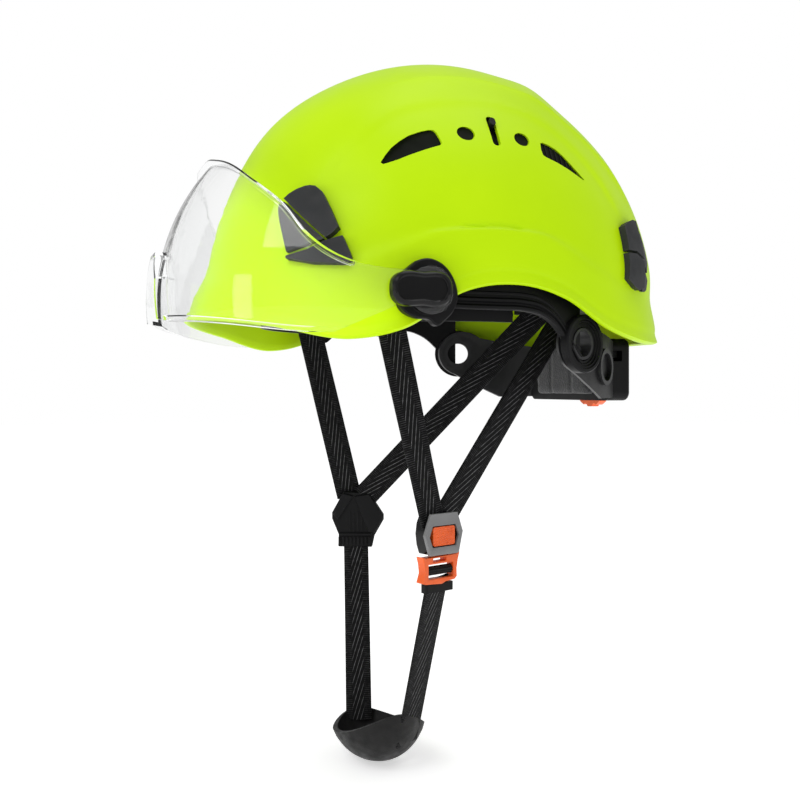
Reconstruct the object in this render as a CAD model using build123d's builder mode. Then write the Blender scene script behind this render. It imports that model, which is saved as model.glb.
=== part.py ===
"""Forestry helmet: vented shell, tilting visor, ratchet headband and four-point chin harness.

Millimetres. +X is the wearer's left, +Y is the back of the head, +Z is up.
The origin is the middle of the wearer's head at the level of the ear openings.
"""

import os
from math import cos, pi, radians, sin, sqrt

from build123d import *

# Shell form: an ellipsoid dome standing on a slightly flared brim
DOME_HALF_WIDTH = 105.0
DOME_HALF_LENGTH = 137.5
DOME_HEIGHT = 147.0
DOME_Y = 9.5
DOME_BASE_Z = 45.0
SEAM_Z = 75.0
BRIM_HALF_WIDTH = 106.0
BRIM_HALF_LENGTH = 147.0
BRIM_Z = 20.0
SHELL_WALL = 2.8
UNIT_SPHERE = 100.0

# Layers under the shell, measured inwards from its outer surface
SLIDER_TOP_INSET = 4.0
SLIDER_BOTTOM_INSET = 5.2
LINER_TOP_INSET = 6.6
LINER_BOTTOM_INSET = 18.6
CROWN_PAD_INSET = 24.0
LINER_EDGE_Z = 60.0
LINER_SEAT_TOP_Z = 72.0

# Vents, as (Y, Z) in the side view
HOLE_Y = (-6.0, 26.6)
HOLE_Z = 134.0
HOLE_RADIUS = 4.9
SLOT_Y = 10.2
SLOT_Z = 137.0
SLOT_WIDTH = 4.8
SLOT_HEIGHT = 18.0
SLIDER_TAB = (73.6, SLOT_Y, 138.9)
MESH_WALL = 0.8

# Lamp clips: raised plates that follow the shell
CLIP_HEIGHT = 4.5
FRONT_CLIP = (50.0, -60.0, 81.0)
REAR_CLIP = (40.0, 60.0, 75.0)

# Visor: its lens is turned about the pivot axis
PIVOT_Y = -37.0
PIVOT_Z = 48.0
LENS_THICKNESS = 2.2
LENS_REACH = 116.0
LENS_BOTTOM_ANGLE = -24.0
LENS_TOP_ANGLE = 44.0
LIP_HEIGHT = 2.4
ARM_X = 109.6
ARM_RADIUS = 12.0
BRACKET_FACE_X = 107.4
BRACKET_RADIUS = 16.0
KNOB_RADIUS = 9.0
KNOB_LENGTH = 31.0
KNOB_THICKNESS = 7.6
PIN_RADIUS = 3.0
PIN_CLEARANCE = 0.05
PIN_START_X = 104.0
SCREW_Z = (PIVOT_Z - 8.5, PIVOT_Z + 8.5)
SCREW_HEAD = (3.2, 1.8)
SCREW_SHANK = (1.6, 11.0)
BRACKET_BASE_X = 95.0
LENS_POWER = 2.2
LENS_STEPS = 8
LENS_TOP = (
    (-40, 58),
    (-62.5, 58.5),
    (-82, 64),
    (-93, 72),
    (-99.5, 81),
    (-104, 91),
    (-110, 102),
    (-119, 121),
    (-130, 140),
)
LENS_BOTTOM = ((-170, 38), (-150, 35), (-125, 31), (-101, 27.7), (-75, 28), (-52, 34), (-40, 38))

# Suspension: every band lies on one family of ellipses round the head
BAND_Y = 10.0
ARM_BAND = (97.0, 115.4, 3.5)
PLATE_BAND = (92.0, 110.5, 2.5)
BROW_BAND = (85.0, 106.0, 2.0)
SWEAT_BAND = (83.0, 104.0, 4.0)
HUB = (87.0, 61.0, 24.0)
HUB_TURN = 22.5
HUB_RADIUS = 8.7
HUB_CLEARANCE = 0.6
HUB_BORE = 7.0
DISC_RADIUS = 16.0
HUB_DEPTH = 6.5
BROW_BOSS = (82.0, -14.0, 52.0)
BROW_BOSS_RADIUS = 4.0
BROW_Z = (35.0, 58.0)
BROW_BACK_Y = 20.0
SWEAT_PAD_BACK_Y = -8.0
BOSS = (65.0, 87.0, 12.0)
BOSS_TURN = 39.4
BOSS_RADIUS = 10.5
BOSS_BORE = 8.0

# Nape ratchet
HOUSING_HALF_WIDTH = 50.0
HOUSING_FRONT_Y = 100.0
HOUSING_BACK_Y = 115.0
HOUSING_Z = (-7.5, 29.5)
KNOB_Z = 11.0
PITCH_RADIUS = 6.0
TOOTH_COUNT = 12
TOOTH_HALF = 0.9
GEAR_Y = (105.0, 109.0)
COVER_BACK_Y = 103.0
CAVITY_BACK_Y = 109.0
SLIDE_GAP = 0.3
RACK_THICKNESS = 3.7
RACK_NEAR = PITCH_RADIUS - TOOTH_HALF
RACK_ROOT = PITCH_RADIUS + TOOTH_HALF + 0.3
RACK_FAR = RACK_ROOT + RACK_THICKNESS
SLOT_REACH = 27.0
SHAFT_RADIUS = 4.0
SHAFT_LENGTH = 17.0
TOOTH_PITCH = 2 * pi * PITCH_RADIUS / TOOTH_COUNT
TOOTH_TIP = 0.30 * TOOTH_PITCH / 2
TOOTH_FOOT = 0.68 * TOOTH_PITCH / 2
WHEEL_RADIUS = 22.8
SCALLOPS = 14
SCALLOP_RADIUS = 2.8
WHEEL_Y = (116.0, 121.0)
FACE_Y = (124.0, 128.5)
FACE_RADIUS = 17.4
CAP_BACK_Y = 133.5
CAP_RADIUS = 10.0
NAPE_PAD_SIZE = (72.0, 31.0, 4.5)

# Harness webbing and its hardware
WEB_WIDTH = 16.0
WEB_THICKNESS = 1.5
BUCKLE = Vector(72.0, -18.0, -77.0)
TONGUE_Z = -95.5
BUCKLE_SIZE = (24.0, 22.0, 9.0)
FACE = Vector(0.934, 0.358, 0.0)
FACE_X = Vector(-0.358, 0.934, 0.0)
RIGHT_FACE = Vector(0.934, -0.358, 0.0)
OUTWARD = Vector(1.0, 0.0, 0.0)
BUTTON_SIZE = (15.6, 10.0, 4.2)
BUTTON_GAP = 0.4
BUTTON_Y = -1.0
BUTTON_BASE = 0.7
POCKET_BASE = -1.6
SPRING_BASE = -3.6
PRONG_SLOT = (13.0, 3.8, 3.2)
ROLLER_Y = -1.0
ROLLER_RADIUS = 2.5
ROLLER_LENGTH = 17.2
ROLLER_PIN = 1.2
TONGUE_SIZE = (25.0, 14.0, 2.7)
DIVIDER = (-72.0, -18.5, -86.0)
DIVIDER_DEPTH = 4.2
YOKE = Vector(18.7, 88.6, 48.7)
FRONT_ANCHOR = Vector(79.0, -50.0, 46.0)
CHIN = Vector(-5.0, -26.0, -196.0)
CHIN_SIZE = (42.0, 25.0, 26.0)
CHIN_WALL = 2.4
CHIN_TILT = -6.0


def save(builder, label):
    """Name a finished piece and write it out."""
    builder.part.label = label
    export_step(builder.part, f"parts/{label}.step")


def save_pair(builder, name):
    """Write the left-hand piece and its mirror image for the right-hand side."""
    save(builder, f"left_{name}")
    with BuildPart() as mirrored:
        mirror(builder.part, about=Plane.YZ)
    save(mirrored, f"right_{name}")


def helmet_form(inset):
    """The solid inside the shell's outer surface with every wall moved in by inset."""
    half_x = DOME_HALF_WIDTH - inset
    half_y = DOME_HALF_LENGTH - inset
    height = DOME_HEIGHT - inset
    spread = sqrt(1 - ((SEAM_Z - DOME_BASE_Z) / height) ** 2)
    with BuildPart() as dome:
        Sphere(UNIT_SPHERE)
        scale(by=(half_x / UNIT_SPHERE, half_y / UNIT_SPHERE, height / UNIT_SPHERE))
    with BuildPart() as form:
        add(dome.part.moved(Location((0, DOME_Y, DOME_BASE_Z))))
        split(bisect_by=Plane.XY.offset(SEAM_Z), keep=Keep.TOP)
        with BuildSketch(Plane((0, DOME_Y, SEAM_Z))):
            Ellipse(half_x * spread, half_y * spread)
        with BuildSketch(Plane((0, 0, BRIM_Z))):
            Ellipse(BRIM_HALF_WIDTH - inset, BRIM_HALF_LENGTH - inset)
        loft()
    return form.part


def band(size, side_outline):
    """Part of an upright oval band that lies inside an outline seen from the side."""
    half_x, half_y, thickness = size
    with BuildPart() as ring:
        with BuildSketch(Plane((0, BAND_Y, -40))):
            Ellipse(half_x, half_y)
            Ellipse(half_x - thickness, half_y - thickness, mode=Mode.SUBTRACT)
        extrude(amount=120)
        add(side_outline, mode=Mode.INTERSECT)
    return ring.part


def front_block(back_y):
    """A block round the brow that ends at back_y."""
    with BuildPart() as block:
        with BuildSketch(Plane.XY.offset(BROW_Z[0])):
            with BuildLine():
                Polyline((-100, back_y), (100, back_y), (100, -110), (-100, -110), close=True)
            make_face()
        extrude(amount=BROW_Z[1] - BROW_Z[0])
    return block.part


def strap(stations):
    """Flat webbing lofted through stations of (centre, direction its face looks)."""
    centres = [centre for centre, face in stations]
    with BuildPart() as webbing:
        for index, (centre, face) in enumerate(stations):
            before = centres[max(index - 1, 0)]
            after = centres[min(index + 1, len(centres) - 1)]
            along = (after - before).normalized()
            across = face.cross(along).normalized()
            with BuildSketch(Plane(origin=centre, x_dir=across, z_dir=along)):
                Rectangle(WEB_WIDTH, WEB_THICKNESS)
        loft()
    return webbing


def turned_plane(origin, degrees):
    """Upright plane whose normal points away from the head, turned from +X about Z."""
    turn = radians(degrees)
    return Plane(origin=origin, x_dir=(-sin(turn), cos(turn), 0), z_dir=(cos(turn), sin(turn), 0))


os.makedirs("parts", exist_ok=True)
outer_form = helmet_form(0)
inner_form = helmet_form(SHELL_WALL)

# ---------------------------------------------------------------- harness webbing
buckle_top = BUCKLE + Vector(0, 0, BUCKLE_SIZE[1] / 2)
front_end = buckle_top - FACE_X * 5 + FACE * 1.7 - Vector(0, 0, 6)
rear_end = buckle_top + FACE_X * 5 - FACE * 2.6 - Vector(0, 0, 6)

front_strap = strap([(FRONT_ANCHOR, OUTWARD), (front_end, FACE)])
rear_strap = strap([(YOKE + (YOKE - rear_end).normalized() * 6, FACE), (rear_end, FACE)])
save_pair(front_strap, "front_strap")
save_pair(rear_strap, "rear_strap")

left_chin_strap = strap([
    (Vector(71.3, -18, -100.8), FACE),
    (Vector(25, -18.5, -203.5), FACE),
])
save(left_chin_strap, "left_chin_strap")
right_chin_strap = strap([
    (Vector(-72, -18.5, -99), RIGHT_FACE),
    (Vector(-37, -27.5, -208), RIGHT_FACE),
])
save(right_chin_strap, "right_chin_strap")

# ---------------------------------------------------------------- shell
with BuildPart() as below_rim:
    with BuildSketch(Plane.YZ):
        with BuildLine():
            rim = Spline(
                (-150, 40),
                (-110, 33),
                (-72, 25.5),
                (-46, 31),
                (-16, 49.5),
                (15, 54),
                (44, 48),
                (74, 33.5),
                (105, 27),
                (150, 28.5),
            )
            Polyline(rim @ 1, (150, 0), (-150, 0), rim @ 0)
        make_face()
    extrude(amount=130, both=True)

with BuildPart() as vent_cuts:
    with BuildSketch(Plane.YZ):
        with BuildLine():
            Spline((-52, 115.5), (-40, 128.5), (-22.5, 135), (-20.5, 127))
            Spline((-20.5, 127), (-36, 121.5), (-52, 115.5))
        make_face()
        with BuildLine():
            Spline((38.5, 125.5), (40, 133.5), (52, 129), (65.5, 115))
            Spline((65.5, 115), (53, 120), (38.5, 125.5))
        make_face()
        with Locations(*[(y, HOLE_Z) for y in HOLE_Y]):
            Ellipse(HOLE_RADIUS, HOLE_RADIUS * 0.85)
        with Locations((SLOT_Y, SLOT_Z)):
            SlotOverall(SLOT_HEIGHT, SLOT_WIDTH, rotation=90)
    extrude(amount=130, both=True)

with BuildPart() as bracket_screws:
    for side in (-1, 1):
        for z in SCREW_Z:
            start = Plane(origin=(side * (BRACKET_BASE_X + 0.5), PIVOT_Y, z), z_dir=(side, 0, 0))
            for radius, length in (SCREW_HEAD, SCREW_SHANK):
                with BuildSketch(start):
                    Circle(radius)
                extrude(amount=length)
save(bracket_screws, "bracket_screws")

with BuildPart() as shell:
    add(outer_form)
    add(inner_form, mode=Mode.SUBTRACT)
    add(below_rim.part, mode=Mode.SUBTRACT)
    add(vent_cuts.part, mode=Mode.SUBTRACT)
    add(bracket_screws.part, mode=Mode.SUBTRACT)
save(shell, "shell")

# ---------------------------------------------------------------- liner and pads
liner_top = helmet_form(LINER_TOP_INSET)
liner_inside = helmet_form(LINER_BOTTOM_INSET)
with BuildPart() as foam_liner:
    add(inner_form)
    split(bisect_by=Plane.XY.offset(LINER_SEAT_TOP_Z), keep=Keep.BOTTOM)
    add(liner_top)
    split(bisect_by=Plane.XY.offset(LINER_EDGE_Z), keep=Keep.TOP)
    add(liner_inside, mode=Mode.SUBTRACT)
save(foam_liner, "foam_liner")

pad_inside = helmet_form(CROWN_PAD_INSET)
with BuildPart() as crown_pad:
    with BuildSketch(Plane((0, DOME_Y, 100))):
        SlotOverall(120, 34, rotation=90)
        SlotOverall(92, 30)
    extrude(amount=120)
    add(liner_inside, mode=Mode.INTERSECT)
    add(pad_inside, mode=Mode.SUBTRACT)
save(crown_pad, "crown_pad")

# ---------------------------------------------------------------- vent sliders and mesh
slider_layer = helmet_form(SLIDER_TOP_INSET)
slider_under = helmet_form(SLIDER_BOTTOM_INSET)
with BuildPart() as vent_slider:
    with BuildSketch(Plane.YZ.offset(40)):
        with Locations((SLOT_Y, 146)):
            RectangleRounded(46, 14, 3)
    extrude(amount=70)
    add(slider_layer, mode=Mode.INTERSECT)
    add(slider_under, mode=Mode.SUBTRACT)
with BuildPart() as slider_tab:
    with BuildSketch(Plane(origin=SLIDER_TAB, x_dir=(0, 1, 0), z_dir=(0.875, 0, 0.483))):
        SlotOverall(5.0, 3.4, rotation=90)
    extrude(amount=7.4)
    add(slider_under, mode=Mode.SUBTRACT)
with BuildPart() as vent_slider_piece:
    add(vent_slider.part)
    add(slider_tab.part)
save_pair(vent_slider_piece, "vent_slider")

mesh_under = helmet_form(SHELL_WALL + MESH_WALL)
with BuildPart() as vent_mesh:
    with BuildSketch(Plane.YZ.offset(40)):
        with Locations((52.5, 124)):
            RectangleRounded(32, 24, 4)
    extrude(amount=70)
    add(inner_form, mode=Mode.INTERSECT)
    add(mesh_under, mode=Mode.SUBTRACT)
save_pair(vent_mesh, "vent_mesh")

# ---------------------------------------------------------------- lamp clips
clip_skin = helmet_form(-CLIP_HEIGHT)
front_clip_plane = Plane(origin=FRONT_CLIP, x_dir=(0.78, 0.62, 0), z_dir=(0.62, -0.78, 0))
with BuildPart() as front_lamp_clip:
    with BuildSketch(front_clip_plane):
        with BuildLine():
            Polyline(
                (-20, 12),
                (-14, 17.5),
                (-5, 20.5),
                (3, 18),
                (14.5, -1),
                (10, -6),
                (16.5, -6),
                (21.5, -17),
                (18, -20.5),
                (-12, -17.5),
                (-13, -10),
                close=True,
            )
        make_face()
    extrude(amount=80)
    add(clip_skin, mode=Mode.INTERSECT)
    add(outer_form, mode=Mode.SUBTRACT)
save_pair(front_lamp_clip, "front_lamp_clip")

rear_clip_plane = Plane(origin=REAR_CLIP, x_dir=(-0.78, 0.62, 0), z_dir=(0.62, 0.78, 0))
with BuildPart() as rear_lamp_clip:
    with BuildSketch(rear_clip_plane):
        with BuildLine():
            Polyline(
                (-16, -15),
                (-15, 0),
                (-9, 17),
                (0, 20),
                (13, 14),
                (18, -2),
                (14, -18),
                (0, -20),
                close=True,
            )
        make_face()
    extrude(amount=80)
    add(clip_skin, mode=Mode.INTERSECT)
    add(outer_form, mode=Mode.SUBTRACT)
save_pair(rear_lamp_clip, "rear_lamp_clip")

# ---------------------------------------------------------------- visor
pivot_side = Plane(origin=(BRACKET_BASE_X, PIVOT_Y, PIVOT_Z), x_dir=(0, 1, 0), z_dir=(1, 0, 0))
with BuildPart() as visor_bracket:
    with BuildSketch(pivot_side):
        Circle(BRACKET_RADIUS)
    extrude(amount=BRACKET_FACE_X - BRACKET_BASE_X)
    add(outer_form, mode=Mode.SUBTRACT)
    with BuildSketch(pivot_side):
        Circle(PIN_RADIUS + PIN_CLEARANCE)
    extrude(amount=20, mode=Mode.SUBTRACT)
    add(bracket_screws.part, mode=Mode.SUBTRACT)
save_pair(visor_bracket, "visor_bracket")

pivot_axis = Axis((0, PIVOT_Y, PIVOT_Z), (1, 0, 0))


def lens_profile(offset_out, thickness):
    """Half of the lens plan, moved outwards and thickened, mirrored to full width."""
    points = []
    for step in range(LENS_STEPS + 1):
        turn = pi / 2 * step / LENS_STEPS
        x = ARM_X * cos(turn) ** (2 / LENS_POWER)
        y = (LENS_REACH + offset_out) * sin(turn) ** (2 / LENS_POWER)
        points.append((x, -y))
    with BuildSketch() as profile:
        with BuildLine():
            curve = Spline(*points, tangents=((0, -1), (-1, 0)))
            mirror(curve, about=Plane.YZ)
        trace(line_width=thickness)
    return profile.sketch


def revolved_sheet(offset_out, thickness, angle_from, angle_to, start):
    """A sheet that follows the lens between two angles, from a start radius outwards."""
    turn = radians(angle_from)
    plane = Plane(
        origin=(0, PIVOT_Y, PIVOT_Z),
        x_dir=(1, 0, 0),
        z_dir=(0, sin(turn), cos(turn)),
    )
    with BuildPart() as sheet:
        with BuildSketch(plane):
            add(lens_profile(offset_out, thickness))
            Rectangle(260, 2 * start, mode=Mode.SUBTRACT)
        revolve(axis=pivot_axis, revolution_arc=angle_from - angle_to)
    return sheet.part


def lens_outline(shrink):
    """The lens as seen from the side, with its long edges moved inwards."""
    with BuildPart() as outline:
        with BuildSketch(Plane.YZ):
            with BuildLine():
                top = Spline(*[(y, z - shrink) for y, z in LENS_TOP])
                bottom = Spline(*[(y, z + shrink) for y, z in LENS_BOTTOM])
                Polyline(top @ 1, (-170, 140), bottom @ 0)
                Line(bottom @ 1, top @ 0)
            make_face()
        extrude(amount=130, both=True)
    return outline.part


with BuildPart() as lens_sheet:
    add(revolved_sheet(0, LENS_THICKNESS, LENS_BOTTOM_ANGLE, LENS_TOP_ANGLE, 4))
    add(lens_outline(0), mode=Mode.INTERSECT)
with BuildPart() as lens_lips:
    add(revolved_sheet(1.8, 4.8, LENS_BOTTOM_ANGLE, LENS_TOP_ANGLE, 40))
    add(lens_outline(0), mode=Mode.INTERSECT)
    add(lens_outline(LIP_HEIGHT), mode=Mode.SUBTRACT)
nose_wall = revolved_sheet(3.2, 7.6, LENS_BOTTOM_ANGLE, LENS_TOP_ANGLE, 60)

with BuildPart() as nose_notch:
    with BuildSketch(Plane.XZ.offset(120)):
        with BuildLine():
            Polyline((-25, 20), (25, 20), (19, 58), (9, 71), (-9, 71), (-19, 58), close=True)
        make_face()
    extrude(amount=60)
with BuildPart() as nose_frame:
    with BuildSketch(Plane.XZ.offset(120)):
        with BuildLine():
            Polyline(
                (-27.3, 20),
                (27.3, 20),
                (21.2, 59),
                (10.4, 73.2),
                (-10.4, 73.2),
                (-21.2, 59),
                close=True,
            )
        make_face()
    extrude(amount=60)
    add(nose_wall, mode=Mode.INTERSECT)
    add(lens_outline(0), mode=Mode.INTERSECT)

with BuildPart() as visor_arms:
    for side in (-1, 1):
        arm_plane = Plane(
            origin=(side * (ARM_X - LENS_THICKNESS / 2), PIVOT_Y, PIVOT_Z),
            x_dir=(0, 1, 0),
            z_dir=(side, 0, 0),
        )
        with BuildSketch(arm_plane):
            Circle(ARM_RADIUS)
        extrude(amount=LENS_THICKNESS)

with BuildPart() as pin_bores:
    with BuildSketch(Plane.YZ):
        with Locations((PIVOT_Y, PIVOT_Z)):
            Circle(PIN_RADIUS)
    extrude(amount=130, both=True)

with BuildPart() as visor_lens:
    add(lens_sheet.part)
    add(lens_lips.part)
    add(visor_arms.part)
    add(nose_frame.part)
    add(nose_notch.part, mode=Mode.SUBTRACT)
    add(pin_bores.part, mode=Mode.SUBTRACT)
save(visor_lens, "visor_lens")

knob_base_x = ARM_X + LENS_THICKNESS / 2
with BuildPart() as visor_knob:
    with BuildSketch(pivot_side.offset(knob_base_x - BRACKET_BASE_X)):
        Circle(KNOB_RADIUS)
        with Locations((2 * KNOB_RADIUS - KNOB_LENGTH, 0)):
            Circle(KNOB_RADIUS)
        with Locations((KNOB_RADIUS - KNOB_LENGTH / 2, 0)):
            Rectangle(KNOB_LENGTH - 2 * KNOB_RADIUS, 2 * KNOB_RADIUS - 2.4)
    extrude(amount=KNOB_THICKNESS)
    chamfer(visor_knob.faces().sort_by(Axis.X)[-1].edges(), 1.2)
save_pair(visor_knob, "visor_knob")

with BuildPart() as visor_pins:
    for side in (-1, 1):
        with BuildSketch(Plane(origin=(side * PIN_START_X, PIVOT_Y, PIVOT_Z), z_dir=(side, 0, 0))):
            Circle(PIN_RADIUS)
        extrude(amount=knob_base_x - PIN_START_X)
save(visor_pins, "visor_pins")

# ---------------------------------------------------------------- suspension
hub = turned_plane(HUB, HUB_TURN)
with BuildPart() as hub_bore:
    with BuildSketch(hub):
        Circle(HUB_RADIUS + HUB_CLEARANCE)
    extrude(amount=20, both=True)
with BuildPart() as arm_outline:
    with BuildSketch(Plane.YZ):
        with BuildLine():
            Polyline(
                (-24, 46),
                (-24, 58),
                (30, 59.4),
                (62, 58),
                (74, 40),
                (74, 24),
                (50, 24),
                (44, 36),
                (30, 43),
                close=True,
            )
        make_face()
        with Locations((HUB[1], HUB[2])):
            Circle(DISC_RADIUS)
    extrude(amount=110)
with BuildPart() as arm_lug:
    with BuildSketch(Plane.YZ.offset(96)):
        with Locations((8, 57)):
            Rectangle(26, 5)
    extrude(amount=12)
    add(inner_form, mode=Mode.INTERSECT)
with BuildPart() as brow_boss:
    with BuildSketch(Plane(origin=BROW_BOSS, x_dir=(0, 1, 0), z_dir=(1, 0, 0))):
        Circle(BROW_BOSS_RADIUS)
    extrude(amount=13)
brow_band_ring = band(BROW_BAND, front_block(BROW_BACK_Y))
with BuildPart() as suspension_arm:
    add(band(ARM_BAND, arm_outline.part))
    add(arm_lug.part)
    add(brow_boss.part)
    add(brow_band_ring, mode=Mode.SUBTRACT)
    add(hub_bore.part, mode=Mode.SUBTRACT)
save_pair(suspension_arm, "suspension_arm")

with BuildPart() as brow_band:
    add(brow_band_ring)
save(brow_band, "brow_band")
with BuildPart() as brow_pad:
    add(band(SWEAT_BAND, front_block(SWEAT_PAD_BACK_Y)))
save(brow_pad, "brow_pad")

# ---------------------------------------------------------------- nape ratchet
with BuildPart() as plate_outline:
    with BuildSketch(Plane.YZ.offset(HOUSING_HALF_WIDTH)):
        with BuildLine():
            Polyline(
                (58, 38.5),
                (74, 34),
                (102.8, 27.5),
                (102.8, -5.5),
                (84, -6),
                (66, 4),
                (54, 11),
                close=True,
            )
        make_face()
        with Locations((HUB[1], HUB[2])):
            Circle(DISC_RADIUS - 1)
    extrude(amount=110)
boss_plane = turned_plane(BOSS, BOSS_TURN)
hub_base = hub.offset(-HUB_DEPTH)
with BuildPart() as side_plate:
    add(band(PLATE_BAND, plate_outline.part))
    with BuildSketch(hub_base):
        Circle(HUB_RADIUS)
    extrude(amount=HUB_DEPTH + 0.6)
    with BuildSketch(boss_plane.offset(-1.5)):
        Circle(BOSS_RADIUS)
    extrude(amount=4)
    with BuildSketch(hub_base.offset(-10)):
        Circle(HUB_BORE)
    extrude(amount=30, mode=Mode.SUBTRACT)
    with BuildSketch(boss_plane):
        Circle(BOSS_BORE)
    extrude(amount=10, mode=Mode.SUBTRACT)
save_pair(side_plate, "side_plate")

HOUSING_WIDTH = 2 * HOUSING_HALF_WIDTH
HOUSING_HEIGHT = HOUSING_Z[1] - HOUSING_Z[0]
HOUSING_MID_Z = (HOUSING_Z[0] + HOUSING_Z[1]) / 2


def facing_back(y, z=0.0):
    """Upright plane at a depth y that looks backwards, with sketch X towards the left."""
    return Plane(origin=(0, y, z), x_dir=(-1, 0, 0), z_dir=(0, 1, 0))


with BuildPart() as nape_housing:
    with BuildSketch(facing_back(COVER_BACK_Y, HOUSING_MID_Z)):
        RectangleRounded(HOUSING_WIDTH, HOUSING_HEIGHT, 5)
    extrude(amount=HOUSING_BACK_Y - COVER_BACK_Y)
    fillet(nape_housing.faces().sort_by(Axis.Y)[-1].edges(), 2.5)
    with BuildSketch(facing_back(COVER_BACK_Y, KNOB_Z)):
        Circle(PITCH_RADIUS + TOOTH_HALF + 0.6)
        for side in (-1, 1):
            middle_x = -side * (HOUSING_HALF_WIDTH - SLOT_REACH) / 2
            middle_z = side * (RACK_NEAR + RACK_FAR) / 2
            with Locations((middle_x, middle_z)):
                Rectangle(HOUSING_HALF_WIDTH + SLOT_REACH, RACK_FAR - RACK_NEAR + 2 * SLIDE_GAP)
    extrude(amount=CAVITY_BACK_Y - COVER_BACK_Y, mode=Mode.SUBTRACT)
    with BuildSketch(facing_back(COVER_BACK_Y, KNOB_Z)):
        Circle(SHAFT_RADIUS + PIN_CLEARANCE)
    extrude(amount=20, mode=Mode.SUBTRACT)
save(nape_housing, "nape_housing")

with BuildPart() as nape_cover:
    with BuildSketch(facing_back(HOUSING_FRONT_Y, HOUSING_MID_Z)):
        RectangleRounded(HOUSING_WIDTH, HOUSING_HEIGHT, 5)
    extrude(amount=COVER_BACK_Y - HOUSING_FRONT_Y)
save(nape_cover, "nape_cover")

with BuildPart() as nape_pad:
    with BuildSketch(facing_back(HOUSING_FRONT_Y - NAPE_PAD_SIZE[2], HOUSING_MID_Z)):
        RectangleRounded(NAPE_PAD_SIZE[0], NAPE_PAD_SIZE[1], 6)
    extrude(amount=NAPE_PAD_SIZE[2])
save(nape_pad, "nape_pad")

with BuildPart() as left_rack:
    with BuildSketch(facing_back(GEAR_Y[0] - 1.0, KNOB_Z)):
        with Locations((-16, (RACK_ROOT + RACK_FAR) / 2)):
            Rectangle(60, RACK_THICKNESS)
        for index in range(-4, 4):
            x = (index + 0.5) * TOOTH_PITCH
            with BuildLine():
                Polyline(
                    (x - TOOTH_FOOT, RACK_ROOT),
                    (x - TOOTH_TIP, RACK_NEAR + 0.1),
                    (x + TOOTH_TIP, RACK_NEAR + 0.1),
                    (x + TOOTH_FOOT, RACK_ROOT),
                    close=True,
                )
            make_face()
    extrude(amount=GEAR_Y[1] - GEAR_Y[0])
save(left_rack, "left_rack")
with BuildPart() as right_rack:
    add(left_rack.part.rotate(Axis((0, 0, KNOB_Z), (0, 1, 0)), 180))
save(right_rack, "right_rack")

with BuildPart() as pinion:
    with BuildSketch(facing_back(GEAR_Y[0] - 1.0, KNOB_Z)):
        Circle(PITCH_RADIUS - TOOTH_HALF - 0.3)
        with PolarLocations(0, TOOTH_COUNT):
            with BuildLine():
                Polyline(
                    (4.4, -TOOTH_FOOT),
                    (PITCH_RADIUS + TOOTH_HALF, -TOOTH_TIP),
                    (PITCH_RADIUS + TOOTH_HALF, TOOTH_TIP),
                    (4.4, TOOTH_FOOT),
                    close=True,
                )
            make_face()
    extrude(amount=GEAR_Y[1] - GEAR_Y[0])
    with BuildSketch(facing_back(GEAR_Y[1] - 1.0, KNOB_Z)):
        Circle(SHAFT_RADIUS)
    extrude(amount=SHAFT_LENGTH)
save(pinion, "pinion")

with BuildPart() as adjuster_wheel:
    with BuildSketch(facing_back(WHEEL_Y[0], KNOB_Z)):
        Circle(WHEEL_RADIUS)
        with PolarLocations(WHEEL_RADIUS + 1.4, SCALLOPS):
            Circle(SCALLOP_RADIUS, mode=Mode.SUBTRACT)
        Circle(SHAFT_RADIUS, mode=Mode.SUBTRACT)
    extrude(amount=WHEEL_Y[1] - WHEEL_Y[0])
save(adjuster_wheel, "adjuster_wheel")
with BuildPart() as knob_face:
    with BuildSketch(facing_back(WHEEL_Y[1], KNOB_Z)):
        Circle(13)
    extrude(amount=FACE_Y[0] - WHEEL_Y[1])
    with BuildSketch(facing_back(FACE_Y[0], KNOB_Z)):
        Circle(FACE_RADIUS)
    extrude(amount=FACE_Y[1] - FACE_Y[0])
    chamfer(knob_face.faces().sort_by(Axis.Y)[-1].edges(), 1.0)
    add(pinion.part, mode=Mode.SUBTRACT)
save(knob_face, "knob_face")
with BuildPart() as knob_cap:
    with BuildSketch(facing_back(FACE_Y[1], KNOB_Z)):
        Circle(CAP_RADIUS)
    extrude(amount=CAP_BACK_Y - FACE_Y[1])
    fillet(knob_cap.faces().sort_by(Axis.Y)[-1].edges(), 2)
save(knob_cap, "knob_cap")

# ---------------------------------------------------------------- strap anchors
with BuildPart() as front_strap_anchor:
    with Locations((89, -50.7, 46)):
        Box(22.8, 18.4, 16)
    add(inner_form, mode=Mode.INTERSECT)
    add(front_strap.part, mode=Mode.SUBTRACT)
save_pair(front_strap_anchor, "front_strap_anchor")

with BuildPart() as right_rear_strap:
    mirror(rear_strap.part, about=Plane.YZ)
with BuildPart() as rear_strap_yoke:
    with BuildSketch(Plane.XY.offset(48)):
        with Locations((0, 88.5)):
            RectangleRounded(62, 25, 4)
        with Locations((0, 119)):
            Rectangle(28, 44)
    extrude(amount=3)
    add(inner_form, mode=Mode.INTERSECT)
    add(rear_strap.part, mode=Mode.SUBTRACT)
    add(right_rear_strap.part, mode=Mode.SUBTRACT)
save(rear_strap_yoke, "rear_strap_yoke")

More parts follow.
